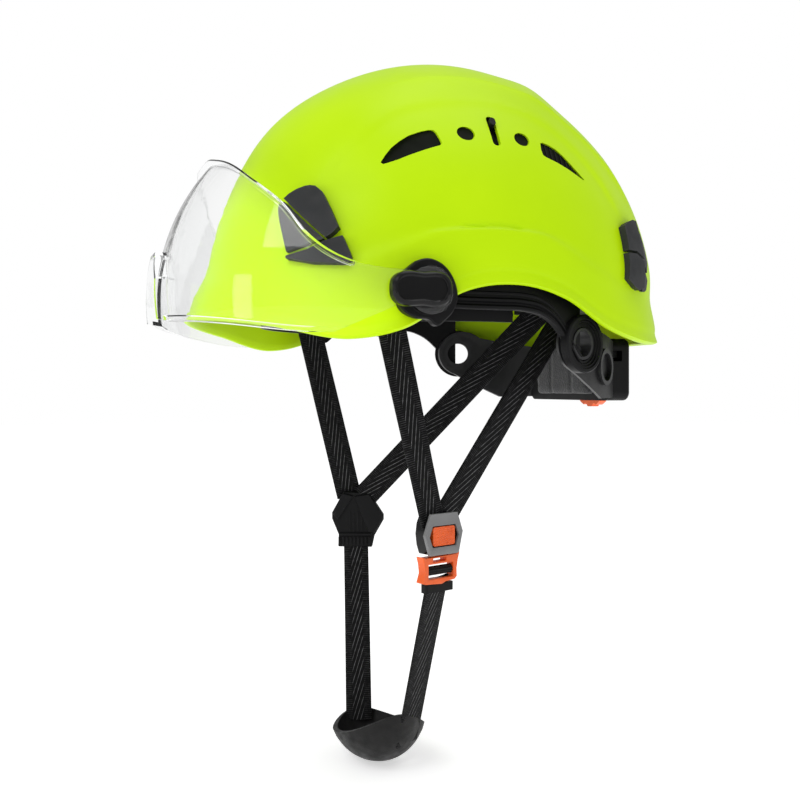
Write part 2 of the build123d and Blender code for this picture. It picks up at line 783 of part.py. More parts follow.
# ---------------------------------------------------------------- buckle
buckle_plane = Plane(origin=BUCKLE, x_dir=FACE_X, z_dir=FACE)
width, height, depth = BUCKLE_SIZE
with BuildPart() as buckle_housing:
    with BuildSketch(buckle_plane):
        RectangleRounded(width, height, 3.5)
    extrude(amount=depth / 2, both=True)
    fillet(buckle_housing.faces().sort_by(Axis((0, 0, 0), FACE))[-1].edges(), 1.0)
    with BuildSketch(buckle_plane.offset(POCKET_BASE)):
        with Locations((0, BUTTON_Y)):
            Rectangle(BUTTON_SIZE[0] + 2 * BUTTON_GAP, BUTTON_SIZE[1] + 2 * BUTTON_GAP)
    extrude(amount=10, mode=Mode.SUBTRACT)
    with BuildSketch(buckle_plane.offset(SPRING_BASE)):
        with Locations((0, BUTTON_Y)):
            Circle(3.0)
    extrude(amount=3, mode=Mode.SUBTRACT)
    with BuildSketch(buckle_plane.offset(-PRONG_SLOT[2] / 2)):
        with Locations((0, (PRONG_SLOT[1] - height) / 2)):
            Rectangle(PRONG_SLOT[0], PRONG_SLOT[1])
    extrude(amount=PRONG_SLOT[2], mode=Mode.SUBTRACT)
    add(front_strap.part, mode=Mode.SUBTRACT)
    add(rear_strap.part, mode=Mode.SUBTRACT)
save(buckle_housing, "buckle_housing")

with BuildPart() as buckle_back_plate:
    with BuildSketch(buckle_plane.offset(-depth / 2)):
        RectangleRounded(18, 15, 2)
    extrude(amount=-1.2)
save(buckle_back_plate, "buckle_back_plate")

with BuildPart() as buckle_button:
    with BuildSketch(buckle_plane.offset(BUTTON_BASE)):
        with Locations((0, BUTTON_Y)):
            RectangleRounded(BUTTON_SIZE[0], BUTTON_SIZE[1], 1.2)
    extrude(amount=BUTTON_SIZE[2])
save(buckle_button, "buckle_button")

spring_centre = BUCKLE + FACE * (SPRING_BASE + 0.35) + Vector(0, 0, BUTTON_Y)
with BuildPart() as buckle_spring:
    with BuildLine():
        coil = Helix(pitch=1.15, height=3.5, radius=2.1, center=spring_centre, direction=FACE)
    with BuildSketch(Plane(origin=coil @ 0, z_dir=coil % 0)):
        Circle(0.3)
    sweep()
save(buckle_spring, "buckle_spring")

tongue_plane = Plane(origin=(BUCKLE.X, BUCKLE.Y, TONGUE_Z), x_dir=FACE_X, z_dir=FACE)
tongue_side = Plane(
    origin=(BUCKLE.X, BUCKLE.Y, TONGUE_Z + ROLLER_Y),
    x_dir=(0, 0, 1),
    z_dir=FACE_X,
)
with BuildPart() as buckle_tongue:
    with BuildSketch(tongue_plane):
        RectangleRounded(TONGUE_SIZE[0], TONGUE_SIZE[1], 2.5)
        with Locations((0, -1.3)):
            Rectangle(18, 7.8, mode=Mode.SUBTRACT)
        with Locations((0, 4.8)):
            SlotOverall(7.5, 1.9, mode=Mode.SUBTRACT)
    extrude(amount=TONGUE_SIZE[2], both=True)
    with BuildSketch(tongue_plane):
        with Locations((0, 8.6)):
            Rectangle(12.2, 5)
    extrude(amount=1.3, both=True)
    with BuildSketch(tongue_side.offset(-11.2)):
        Circle(ROLLER_PIN + PIN_CLEARANCE)
    extrude(amount=22.4, mode=Mode.SUBTRACT)
    add(left_chin_strap.part, mode=Mode.SUBTRACT)
save(buckle_tongue, "buckle_tongue")

with BuildPart() as strap_roller:
    with BuildSketch(tongue_side.offset(-ROLLER_LENGTH / 2)):
        Circle(ROLLER_RADIUS - 0.3)
        with PolarLocations(ROLLER_RADIUS - 0.4, 10):
            Circle(0.4)
    extrude(amount=ROLLER_LENGTH)
    with BuildSketch(tongue_side.offset(-11)):
        Circle(ROLLER_PIN)
    extrude(amount=22)
save(strap_roller, "strap_roller")

with BuildPart() as strap_keeper:
    with BuildSketch(Plane(origin=(71, -18, -108), x_dir=FACE_X, z_dir=(0, 0, 1))):
        RectangleRounded(20, 5, 1.5)
    extrude(amount=4.5)
    add(left_chin_strap.part, mode=Mode.SUBTRACT)
save(strap_keeper, "strap_keeper")

# ---------------------------------------------------------------- right divider
divider_plane = Plane(
    origin=DIVIDER,
    x_dir=(-0.358, -0.934, 0),
    z_dir=(-0.934, 0.358, 0),
)
with BuildPart() as right_front_strap:
    mirror(front_strap.part, about=Plane.YZ)
with BuildPart() as strap_divider:
    with BuildSketch(divider_plane):
        with BuildLine():
            Polyline((-15, 18), (15, 18), (15, 9), (10.5, -18), (-10.5, -18), (-15, 9), close=True)
        make_face()
    extrude(amount=DIVIDER_DEPTH, both=True)
    add(right_front_strap.part, mode=Mode.SUBTRACT)
    add(right_rear_strap.part, mode=Mode.SUBTRACT)
    add(right_chin_strap.part, mode=Mode.SUBTRACT)
save(strap_divider, "strap_divider")

# ---------------------------------------------------------------- chin cup
with BuildPart() as chin_outer:
    Sphere(UNIT_SPHERE)
    scale(by=tuple(size / UNIT_SPHERE for size in CHIN_SIZE))
with BuildPart() as chin_inner:
    Sphere(UNIT_SPHERE)
    scale(by=tuple((size - CHIN_WALL) / UNIT_SPHERE for size in CHIN_SIZE))
with BuildPart() as chin_bowl:
    add(chin_outer.part)
    split(bisect_by=Plane.XY, keep=Keep.BOTTOM)
    add(chin_inner.part, mode=Mode.SUBTRACT)
    with BuildSketch(Plane.XY.offset(-40)):
        with Locations((-12, 0), (0, 0), (12, 0)):
            SlotOverall(14, 4, rotation=90)
    extrude(amount=30, mode=Mode.SUBTRACT)
with BuildPart() as chin_cup:
    add(chin_bowl.part.moved(Location(CHIN, (0, CHIN_TILT, 0))))
    add(left_chin_strap.part, mode=Mode.SUBTRACT)
    add(right_chin_strap.part, mode=Mode.SUBTRACT)
save(chin_cup, "chin_cup")
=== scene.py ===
"""Looks for the forestry helmet. Built in millimetres, stored in metres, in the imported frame.

+X is the wearer's left, +Y is the back of the head, +Z is up.
"""

from math import cos, pi, radians, sin

import bmesh
import bpy
import numpy as np
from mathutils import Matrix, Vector


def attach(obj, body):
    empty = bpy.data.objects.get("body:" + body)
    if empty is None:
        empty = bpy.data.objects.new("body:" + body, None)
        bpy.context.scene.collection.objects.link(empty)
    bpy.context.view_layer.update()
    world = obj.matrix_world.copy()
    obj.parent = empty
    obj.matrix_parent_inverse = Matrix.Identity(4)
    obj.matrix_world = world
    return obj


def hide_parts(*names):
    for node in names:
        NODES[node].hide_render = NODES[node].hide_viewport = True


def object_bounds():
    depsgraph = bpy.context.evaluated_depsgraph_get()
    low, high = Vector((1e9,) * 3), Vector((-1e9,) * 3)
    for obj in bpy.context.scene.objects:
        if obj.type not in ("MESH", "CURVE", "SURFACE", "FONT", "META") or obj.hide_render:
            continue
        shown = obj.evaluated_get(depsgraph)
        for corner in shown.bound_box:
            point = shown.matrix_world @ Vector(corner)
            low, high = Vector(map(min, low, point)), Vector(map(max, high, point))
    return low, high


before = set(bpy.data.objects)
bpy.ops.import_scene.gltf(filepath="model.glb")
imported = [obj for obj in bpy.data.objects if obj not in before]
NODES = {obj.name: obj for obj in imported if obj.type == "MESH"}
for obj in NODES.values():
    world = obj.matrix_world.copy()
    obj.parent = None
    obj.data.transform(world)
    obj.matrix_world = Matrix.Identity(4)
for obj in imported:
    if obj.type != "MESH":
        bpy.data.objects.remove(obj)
cad_low, cad_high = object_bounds()

MM = 0.001

# Shell form, as in the CAD
HALF_WIDTH = 105.0
HALF_LENGTH = 137.5
HEIGHT = 147.0
DOME_Y = 9.5
DOME_Z = 45.0
SEAM_Z = 75.0
BRIM_HALF_WIDTH = 106.0
BRIM_HALF_LENGTH = 147.0
BRIM_Z = 20.0
WALL = 2.8
OUTLINE_REACH = 133.8

# Curves seen from the side, as (Y, Z)
RIM = (
    (-150, 40), (-110, 33), (-72, 25.5), (-46, 31), (-16, 49.5), (15, 54), (44, 48), (74, 33.5),
    (105, 27), (150, 28.5),
)
SIDE_CREASE = (
    (-90, 57), (-67, 66), (-47, 73.5), (-30, 79.5), (-14, 81.5), (17, 82), (35, 79.5), (47, 74.6),
    (68, 65), (90, 57),
)
PANEL_EDGE = (
    (-90, 92), (-74, 114.5), (-58, 130), (-41, 144), (-23, 150.6), (-3, 153.4), (21, 153.4),
    (41, 148.3), (60, 137), (80, 116), (95, 92),
)
CROWN_RIDGE = (
    (-60, 160), (-15, 170), (7, 171), (32, 168), (51, 162), (67, 151), (85, 136), (100, 119),
    (112, 100),
)

# Directions: towards the camera, and the faces of the buckle and of the right-hand strap
FACE_X, FACE_Y = 0.934, 0.358
CAMERA_SIDE = Vector((FACE_X, -FACE_Y, 0.0))
LEFT_FACE = Vector((FACE_X, FACE_Y, 0.0))
LEFT_FACE_X = Vector((-FACE_Y, FACE_X, 0.0))
RIGHT_FACE = CAMERA_SIDE

# Harness, visor pivot and headband
BUCKLE = Vector((72, -18, -77))
YOKE = Vector((18.7, 88.6, 48.7))
CHIN = Vector((-5, -26, -196))
PIVOT_Y = -37.0
PIVOT_Z = 48.0
HUB = Vector((87, 61, 24))
HUB_TURN = radians(22.5)
ARM_HALF_WIDTH = 97.0
ARM_HALF_LENGTH = 115.4
BAND_Y = 10.0


# ---------------------------------------------------------------- small helpers
def smoothstep(low, high, value):
    """0 below low, 1 above high, smooth in between. high may be the smaller."""
    t = np.clip((value - low) / (high - low), 0.0, 1.0)
    return t * t * (3.0 - 2.0 * t)


def curve_through(points):
    """A smooth function through (x, y) points, straight beyond the ends."""
    xs = np.array([p[0] for p in points], float)
    ys = np.array([p[1] for p in points], float)
    slopes = np.gradient(ys, xs)

    def value(x):
        x = np.asarray(x, float)
        i = np.clip(np.searchsorted(xs, x) - 1, 0, len(xs) - 2)
        span = xs[i + 1] - xs[i]
        t = np.clip((x - xs[i]) / span, 0.0, 1.0)
        a = ys[i] * (2 * t**3 - 3 * t**2 + 1) + ys[i + 1] * (3 * t**2 - 2 * t**3)
        b = slopes[i] * span * (t**3 - 2 * t**2 + t) + slopes[i + 1] * span * (t**3 - t**2)
        return a + b

    return value


rim_z = curve_through(RIM)
side_crease_z = curve_through(SIDE_CREASE)
panel_edge_z = curve_through(PANEL_EDGE)
crown_ridge_z = curve_through(CROWN_RIDGE)


def hump(value, centre, spread):
    """A smooth bump of height 1 about a centre."""
    return np.exp(-(((value - centre) / spread) ** 2))


def spline(a, b, c, d, t):
    """A point on a smooth curve between b and c."""
    return 0.5 * (2 * b + (c - a) * t + (2 * a - 5 * b + 4 * c - d) * t**2 + (3 * b - a - 3 * c + d) * t**3)


def linked(name, data):
    """A new object of the scene round a mesh, lamp or camera."""
    obj = bpy.data.objects.new(name, data)
    bpy.context.scene.collection.objects.link(obj)
    return obj


def rework(mesh, change):
    """Run a bmesh change on a mesh and write it back."""
    work = bmesh.new()
    work.from_mesh(mesh)
    change(work)
    work.to_mesh(mesh)
    work.free()


def positions(mesh):
    """Vertex positions of a mesh in metres."""
    return np.array([v.co[:] for v in mesh.vertices])


def reposition(mesh, spots):
    """Move the vertices of a mesh to new positions in metres."""
    mesh.vertices.foreach_set("co", spots.ravel())
    mesh.update()


def apply_modifiers(obj):
    """Keep what the modifiers make as plain mesh."""
    graph = bpy.context.evaluated_depsgraph_get()
    mesh = bpy.data.meshes.new_from_object(obj.evaluated_get(graph))
    obj.modifiers.clear()
    old, obj.data = obj.data, mesh
    bpy.data.meshes.remove(old)


def make(name, verts, faces, material, sharp=35.0, uvs=None):
    """A linked mesh object from millimetre vertices, smooth except at sharp edges."""
    mesh = bpy.data.meshes.new(name)
    mesh.from_pydata([(v[0] * MM, v[1] * MM, v[2] * MM) for v in verts], [], faces)
    if uvs is not None:
        layer = mesh.uv_layers.new(name="strap")
        for loop in mesh.loops:
            layer.data[loop.index].uv = uvs[loop.vertex_index]
    rework(mesh, lambda work: bmesh.ops.recalc_face_normals(work, faces=work.faces))
    obj = linked(name, mesh)
    mesh.materials.append(material)
    mesh.shade_smooth()
    mesh.set_sharp_from_angle(angle=radians(sharp))
    return obj


def place(obj, body, slot, *nodes):
    """Ride a body and stand in for CAD nodes. The slot is not used."""
    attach(obj, body)
    if nodes:
        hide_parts(*nodes)
    return obj


def mirrored(obj, name):
    """A copy of a piece on the other side of the helmet, made before it is placed."""
    mesh = obj.data.copy()
    mesh.name = name

    def flip(work):
        for vert in work.verts:
            vert.co.x = -vert.co.x
        bmesh.ops.reverse_faces(work, faces=work.faces)

    rework(mesh, flip)
    copy = linked(name, mesh)
    for mod in obj.modifiers:
        if mod.type == "BEVEL":
            bevel(copy, mod.width / MM, mod.segments, mod.angle_limit * 180 / pi)
    return copy


def place_pair(left, body, slot, node):
    """Place a left piece and its mirror copy for the left and right nodes of a kind."""
    right = mirrored(left, left.name.replace("left_", "right_"))
    place(left, body, slot, f"left_{node}")
    place(right, body, slot, f"right_{node}")


def bevel(obj, width, segments=2, angle=30.0):
    """Round the sharp edges of a piece."""
    mod = obj.modifiers.new("bevel", "BEVEL")
    mod.width = width * MM
    mod.segments = segments
    mod.limit_method = "ANGLE"
    mod.angle_limit = radians(angle)
    mod.use_clamp_overlap = True
    mod.harden_normals = False
    return obj


def joined(name, *parts):
    """Several pieces of one body joined into one object."""
    graph = bpy.context.evaluated_depsgraph_get()
    whole = bmesh.new()
    materials = []
    for part in parts:
        baked = bpy.data.meshes.new_from_object(part.evaluated_get(graph))
        offset = len(materials)
        materials += baked.materials[:]
        for face in baked.polygons:
            face.material_index += offset
        whole.from_mesh(baked)
        bpy.data.meshes.remove(baked)
    mesh = bpy.data.meshes.new(name)
    whole.to_mesh(mesh)
    whole.free()
    for material in materials:
        mesh.materials.append(material)
    for part in parts:
        bpy.data.objects.remove(part)
    return linked(name, mesh)


def prism(name, outline, origin, x_dir, y_dir, low, high, material):
    """A plate with an outline in a plane, from one height above it to another."""
    x_dir, y_dir = Vector(x_dir).normalized(), Vector(y_dir).normalized()
    normal = x_dir.cross(y_dir)
    origin = Vector(origin)
    count = len(outline)
    verts = [origin + x_dir * u + y_dir * v + normal * h for h in (low, high) for u, v in outline]
    faces = [list(range(count))[::-1], list(range(count, 2 * count))]
    faces += [[i, (i + 1) % count, count + (i + 1) % count, count + i] for i in range(count)]
    return make(name, verts, faces, material)


def rings(rows, count, closed=False):
    """Faces between rows of count points each, the last row joined to the first if closed."""
    faces = []
    for i in range(rows if closed else rows - 1):
        j = (i + 1) % rows
        for k in range(count):
            m = (k + 1) % count
            faces.append([i * count + k, i * count + m, j * count + m, j * count + k])
    return faces


def lathe(name, profile, origin, axis, material, segments=64):
    """A ring or disc turned about an axis from (radius, height) points, closed on itself."""
    axis = Vector(axis).normalized()
    side = axis.orthogonal().normalized()
    other = axis.cross(side)
    origin = Vector(origin)
    verts = []
    for i in range(segments):
        turn = 2 * pi * i / segments
        out = side * cos(turn) + other * sin(turn)
        verts += [origin + out * r + axis * h for r, h in profile]
    return make(name, verts, rings(segments, len(profile), closed=True), material)


def cut(obj, cutter):
    """Subtract a closed mesh and keep the result as plain mesh."""
    mod = obj.modifiers.new("cut", "BOOLEAN")
    mod.object = cutter
    mod.operation = "DIFFERENCE"
    mod.solver = "EXACT"
    apply_modifiers(obj)
    bpy.data.objects.remove(cutter)
    return obj


# ---------------------------------------------------------------- materials
class Finish:
    """A node-based material with helpers that chain textures into its shader."""

    def __init__(self, name, roughness, specular=0.5, metallic=0.0):
        self.material = bpy.data.materials.new(name)
        self.material.use_nodes = True
        self.tree = self.material.node_tree
        self.shader = self.tree.nodes["Principled BSDF"]
        self.shader.inputs["Roughness"].default_value = roughness
        self.shader.inputs["Specular IOR Level"].default_value = specular
        self.shader.inputs["Metallic"].default_value = metallic
        self.place = self.tree.nodes.new("ShaderNodeTexCoord").outputs["Object"]
        self.height = None

    def link(self, a, b):
        self.tree.links.new(a, b)

    def noise(self, scale, detail=3.0, stretch=None):
        """Cloudy values from 0 to 1, about 1/scale metres across."""
        node = self.tree.nodes.new("ShaderNodeTexNoise")
        node.inputs["Scale"].default_value = scale
        node.inputs["Detail"].default_value = detail
        source = self.place
        if stretch is not None:
            mapping = self.tree.nodes.new("ShaderNodeMapping")
            mapping.inputs["Scale"].default_value = stretch
            self.link(source, mapping.inputs["Vector"])
            source = mapping.outputs["Vector"]
        self.link(source, node.inputs["Vector"])
        return node.outputs["Fac"]

    def cells(self, scale):
        """Distance to the nearest of many scattered points."""
        node = self.tree.nodes.new("ShaderNodeTexVoronoi")
        node.inputs["Scale"].default_value = scale
        self.link(self.place, node.inputs["Vector"])
        return node.outputs["Distance"]

    def math(self, kind, a, b=None):
        """One arithmetic node on sockets or numbers."""
        node = self.tree.nodes.new("ShaderNodeMath")
        node.operation = kind
        for socket, value in zip(node.inputs, (a, b)):
            if value is None:
                continue
            if isinstance(value, (int, float)):
                socket.default_value = value
            else:
                self.link(value, socket)
        return node.outputs["Value"]

    def span(self, value, low, high, to_low, to_high):
        """Values between low and high spread to a new span."""
        node = self.tree.nodes.new("ShaderNodeMapRange")
        for name, number in zip(("From Min", "From Max", "To Min", "To Max"), (low, high, to_low, to_high)):
            node.inputs[name].default_value = number
        self.link(value, node.inputs["Value"])
        return node.outputs["Result"]

    def colours(self, value, *stops):
        """Base colour from a value through (position, colour) stops."""
        node = self.tree.nodes.new("ShaderNodeValToRGB")
        ramp = node.color_ramp
        while len(ramp.elements) < len(stops):
            ramp.elements.new(0.5)
        for element, (position, colour) in zip(ramp.elements, stops):
            element.position = position
            element.color = (*colour, 1.0)
        self.link(value, node.inputs["Fac"])
        self.link(node.outputs["Color"], self.shader.inputs["Base Color"])
        return self

    def rough(self, value, low, high):
        """Roughness that wanders between two numbers with a value."""
        self.link(self.span(value, 0.3, 0.7, low, high), self.shader.inputs["Roughness"])
        return self

    def bump(self, value, depth, strength=1.0):
        """Surface relief of a depth in millimetres, on top of any before it."""
        node = self.tree.nodes.new("ShaderNodeBump")
        node.inputs["Strength"].default_value = strength
        node.inputs["Distance"].default_value = depth * MM
        self.link(value, node.inputs["Height"])
        if self.height is not None:
            self.link(self.height, node.inputs["Normal"])
        self.height = node.outputs["Normal"]
        self.link(self.height, self.shader.inputs["Normal"])
        return self

    def edges(self):
        """0 on flats, towards 1 on worn outward edges."""
        node = self.tree.nodes.new("ShaderNodeNewGeometry")
        return self.span(node.outputs["Pointiness"], 0.5, 0.56, 0.0, 1.0)

    def uv(self):
        """Strap coordinates in centimetres, across and along."""
        node = self.tree.nodes.new("ShaderNodeUVMap")
        node.uv_map = "strap"
        split = self.tree.nodes.new("ShaderNodeSeparateXYZ")
        self.link(node.outputs["UV"], split.inputs["Vector"])
        return split.outputs["X"], split.outputs["Y"]


def shell_finish():
    """Neon moulded plastic: satin, faint cloudy colour, fine orange-peel and a few scuffs."""
    f = Finish("shell_neon", 0.42, specular=0.11)
    cloud = f.noise(14.0, 4.0)
    f.colours(cloud, (0.30, (0.485, 0.770, 0.0010)), (0.70, (0.530, 0.815, 0.0020)))
    f.rough(f.noise(45.0, 5.0), 0.32, 0.42)
    f.bump(f.noise(900.0, 2.0), 0.025)
    f.bump(f.noise(60.0, 2.0, stretch=(1.0, 1.0, 0.4)), 0.06, 0.5)
    return f.material


def plastic_finish(name, dark, light, low, high, grain=0.03, specular=0.35):
    """Moulded plastic: fine spark-eroded grain, faint flow marks, paler worn edges."""
    f = Finish(name, (low + high) / 2, specular=specular)
    blend = f.math("ADD", f.math("MULTIPLY", f.noise(38.0, 5.0), 0.75), f.math("MULTIPLY", f.edges(), 0.35))
    f.colours(blend, (0.25, dark), (0.75, light))
    f.rough(f.noise(120.0, 4.0), low, high)
    f.bump(f.noise(2200.0, 2.0), grain)
    f.bump(f.noise(260.0, 2.0), grain, 0.4)
    return f.material


def foam_finish():
    """Expanded bead foam: fused cells a few millimetres across."""
    f = Finish("foam_beads", 0.85, specular=0.2)
    cell = f.cells(330.0)
    f.colours(cell, (0.05, (0.012, 0.013, 0.012)), (0.65, (0.030, 0.031, 0.029)))
    f.bump(f.math("SUBTRACT", 1.0, cell), 0.5)
    f.bump(f.noise(1800.0, 2.0), 0.05)
    return f.material


def cloth_finish():
    """Brushed wicking fabric: knit dots, soft nap, slight fading."""
    f = Finish("pad_cloth", 0.9, specular=0.15)
    knit = f.cells(900.0)
    faded = f.math("ADD", f.math("MULTIPLY", knit, 0.6), f.math("MULTIPLY", f.noise(30.0, 4.0), 0.5))
    f.colours(faded, (0.25, (0.010, 0.010, 0.011)), (0.85, (0.045, 0.045, 0.048)))
    f.bump(knit, 0.25)
    f.bump(f.noise(3000.0, 2.0), 0.05)
    f.shader.inputs["Sheen Weight"].default_value = 0.35
    f.shader.inputs["Sheen Roughness"].default_value = 0.5
    return f.material


STRAP_TURN = 2 * pi * 10


def webbing_finish():
    """Polyester webbing: ribbed selvedges and long slanting threads down the middle."""
    f = Finish("webbing_black", 0.60, specular=0.10)
    across, along = f.uv()
    slant = f.math("ADD", across, f.math("MULTIPLY", along, 0.33))
    rib, fine, twist = (
        f.math("SINE", f.math("MULTIPLY", value, STRAP_TURN / pitch))
        for value, pitch in ((along, 1.15), (across, 0.9), (slant, 2.4))
    )
    thread = f.span(twist, 0.72, 1.0, 0.0, 1.0)
    off_centre = f.math("ABSOLUTE", across)
    middle = f.span(off_centre, 0.30, 0.42, 1.0, 0.0)
    edge = f.math("SUBTRACT", 1.0, middle)
    ribs = f.span(f.math("MULTIPLY", rib, edge), -0.2, 1.0, 0.0, 0.55)
    threads = f.math("MULTIPLY", f.math("MULTIPLY", thread, middle), 0.9)
    grain = f.math("MULTIPLY", f.span(f.math("MULTIPLY", rib, fine), 0.0, 1.0, 0.0, 0.3), middle)
    value = f.math("ADD", f.math("ADD", ribs, threads), grain)
    worn = f.math("MULTIPLY", value, f.span(f.noise(400.0, 3.0), 0.3, 0.7, 0.55, 1.1))
    black, grey, pale = (0.0018, 0.0018, 0.0020), (0.009, 0.009, 0.0095), (0.170, 0.170, 0.174)
    f.colours(worn, (0.0, black), (0.32, grey), (1.0, pale))
    f.bump(value, 0.30)
    f.bump(f.noise(2600.0, 2.0), 0.05)
    return f.material


def button_finish():
    """Orange grip plastic with small moulded bars."""
    f = Finish("orange_grip", 0.42, specular=0.4)
    f.colours(f.noise(120.0, 4.0), (0.3, (0.72, 0.085, 0.006)), (0.7, (0.86, 0.120, 0.012)))
    f.bump(f.cells(1300.0), 0.35)
    return f.material


def lens_finish():
    """Clear polycarbonate with faint moulding waves and hairline scuffs."""
    f = Finish("lens_clear", 0.03, specular=0.5)
    f.shader.inputs["Transmission Weight"].default_value = 1.0
    f.shader.inputs["IOR"].default_value = 1.38
    f.colours(f.noise(9.0, 3.0), (0.3, (0.925, 0.93, 0.93)), (0.7, (0.95, 0.955, 0.955)))
    f.rough(f.noise(220.0, 6.0, stretch=(1.0, 1.0, 6.0)), 0.01, 0.05)
    f.bump(f.noise(26.0, 2.0), 0.02)
    return f.material


def steel_finish():
    """Drawn steel: brushed along its length."""
    f = Finish("steel_wire", 0.32, metallic=1.0)
    f.colours(f.noise(300.0, 4.0), (0.3, (0.42, 0.42, 0.43)), (0.7, (0.62, 0.62, 0.64)))
    f.rough(f.noise(900.0, 3.0), 0.25, 0.42)
    f.bump(f.noise(2500.0, 2.0), 0.01)
    return f.material


def rubber_finish():
    """Soft black rubber: matte, dusty in the hollows, fine pitted grain."""
    f = Finish("cup_rubber", 0.50, specular=0.20)
    f.colours(f.noise(70.0, 5.0), (0.3, (0.0035, 0.0035, 0.0038)), (0.72, (0.012, 0.0115, 0.0115)))
    f.rough(f.noise(160.0, 4.0), 0.42, 0.66)
    f.bump(f.cells(1600.0), 0.06)
    return f.material


SHELL = shell_finish()
SATIN = plastic_finish(
    "satin_black", (0.0018, 0.0018, 0.0020), (0.0065, 0.0065, 0.0070),
    0.36, 0.50, specular=0.13,
)
VOID = plastic_finish(
    "vent_dark", (0.0030, 0.0040, 0.0025), (0.0090, 0.0120, 0.0060),
    0.60, 0.80, specular=0.10,
)
GLOSS = plastic_finish(
    "gloss_black", (0.0020, 0.0020, 0.0022), (0.0060, 0.0060, 0.0065),
    0.15, 0.26, grain=0.01, specular=0.20,
)
CLIP = plastic_finish(
    "clip_black", (0.010, 0.011, 0.012), (0.026, 0.027, 0.029),
    0.46, 0.60, grain=0.05, specular=0.30,
)
FACEPLATE = plastic_finish(
    "buckle_face", (0.110, 0.110, 0.112), (0.200, 0.200, 0.202),
    0.30, 0.42, grain=0.04, specular=0.50,
)
PLATE = plastic_finish(
    "plate_black", (0.006, 0.006, 0.0065), (0.020, 0.020, 0.021),
    0.34, 0.48, grain=0.04, specular=0.30,
)
ORANGE = plastic_finish(
    "orange_plastic", (0.70, 0.085, 0.006), (0.88, 0.130, 0.015),
    0.30, 0.44, specular=0.45,
)
FOAM = foam_finish()
CLOTH = cloth_finish()
WEBBING = webbing_finish()
GRIP = button_finish()
LENS = lens_finish()
STEEL = steel_finish()
RUBBER = rubber_finish()

CARRIED = {
    "foam_liner": FOAM,
    "brow_band": SATIN,
    "visor_pins": STEEL,
    "bracket_screws": STEEL,
    "buckle_spring": STEEL,
    "left_vent_slider": SATIN,
    "right_vent_slider": SATIN,
    "left_side_plate": PLATE,
    "right_side_plate": PLATE,
    "nape_housing": SATIN,
    "nape_cover": SATIN,
    "left_rack": SATIN,
    "right_rack": SATIN,
    "pinion": SATIN,
    "adjuster_wheel": ORANGE,
    "knob_face": PLATE,
    "knob_cap": GLOSS,
    "left_front_strap_anchor": SATIN,
    "right_front_strap_anchor": SATIN,
    "rear_strap_yoke": SATIN,
    "buckle_back_plate": GLOSS,
    "buckle_button": GRIP,
    "strap_roller": SATIN,
    "strap_keeper": SATIN,
}
for node, material in CARRIED.items():
    NODES[node].data.materials.clear()
    NODES[node].data.materials.append(material)

for node, width in (
    ("adjuster_wheel", 0.6), ("nape_cover", 0.8), ("strap_keeper", 0.5),
    ("left_side_plate", 0.35), ("right_side_plate", 0.35),
    ("buckle_back_plate", 0.4), ("buckle_button", 0.6),
):
    bevel(NODES[node], width)


# ---------------------------------------------------------------- shell
def shell_sections(z):
    """Half width, half length and centre Y of the shell's outside at a height."""
    rise = np.clip((z - DOME_Z) / HEIGHT, -0.95, 1.0)
    dome = np.sqrt(np.maximum(1.0 - rise**2, 0.0))
    seam = np.sqrt(1.0 - ((SEAM_Z - DOME_Z) / HEIGHT) ** 2)
    down = (SEAM_Z - z) / (SEAM_Z - BRIM_Z)
    wide = HALF_WIDTH * seam * (1 - down) + BRIM_HALF_WIDTH * down
    long = HALF_LENGTH * seam * (1 - down) + BRIM_HALF_LENGTH * down
    skirt = smoothstep(SEAM_Z, SEAM_Z - 25.0, z)
    return (
        HALF_WIDTH * dome * (1 - skirt) + wide * skirt,
        HALF_LENGTH * dome * (1 - skirt) + long * skirt,
        DOME_Y * (1 - skirt) + DOME_Y * (1 - down) * skirt,
    )


def shell_point(turn, z):
    """Points on the smooth outside, turn measured from the back towards the left."""
    wide, long, middle = shell_sections(z)
    return np.stack([wide * np.sin(turn), middle + long * np.cos(turn), z + 0 * turn], axis=-1)


def fade(away, reach):
    """1 on a line, fading out over a reach to both sides of it."""
    return np.exp(-np.abs(away) / reach)


def below_line(above, blur):
    """1 below a line, 0 above it, blurred across it."""
    return 1.0 / (1.0 + np.exp(np.clip(above / blur, -30, 30)))


def stretch_along(y, start, full, full_end, end):
    """1 over the middle of a stretch of Y, smooth to 0 at both ends."""
    return smoothstep(start, full, y) * smoothstep(end, full_end, y)


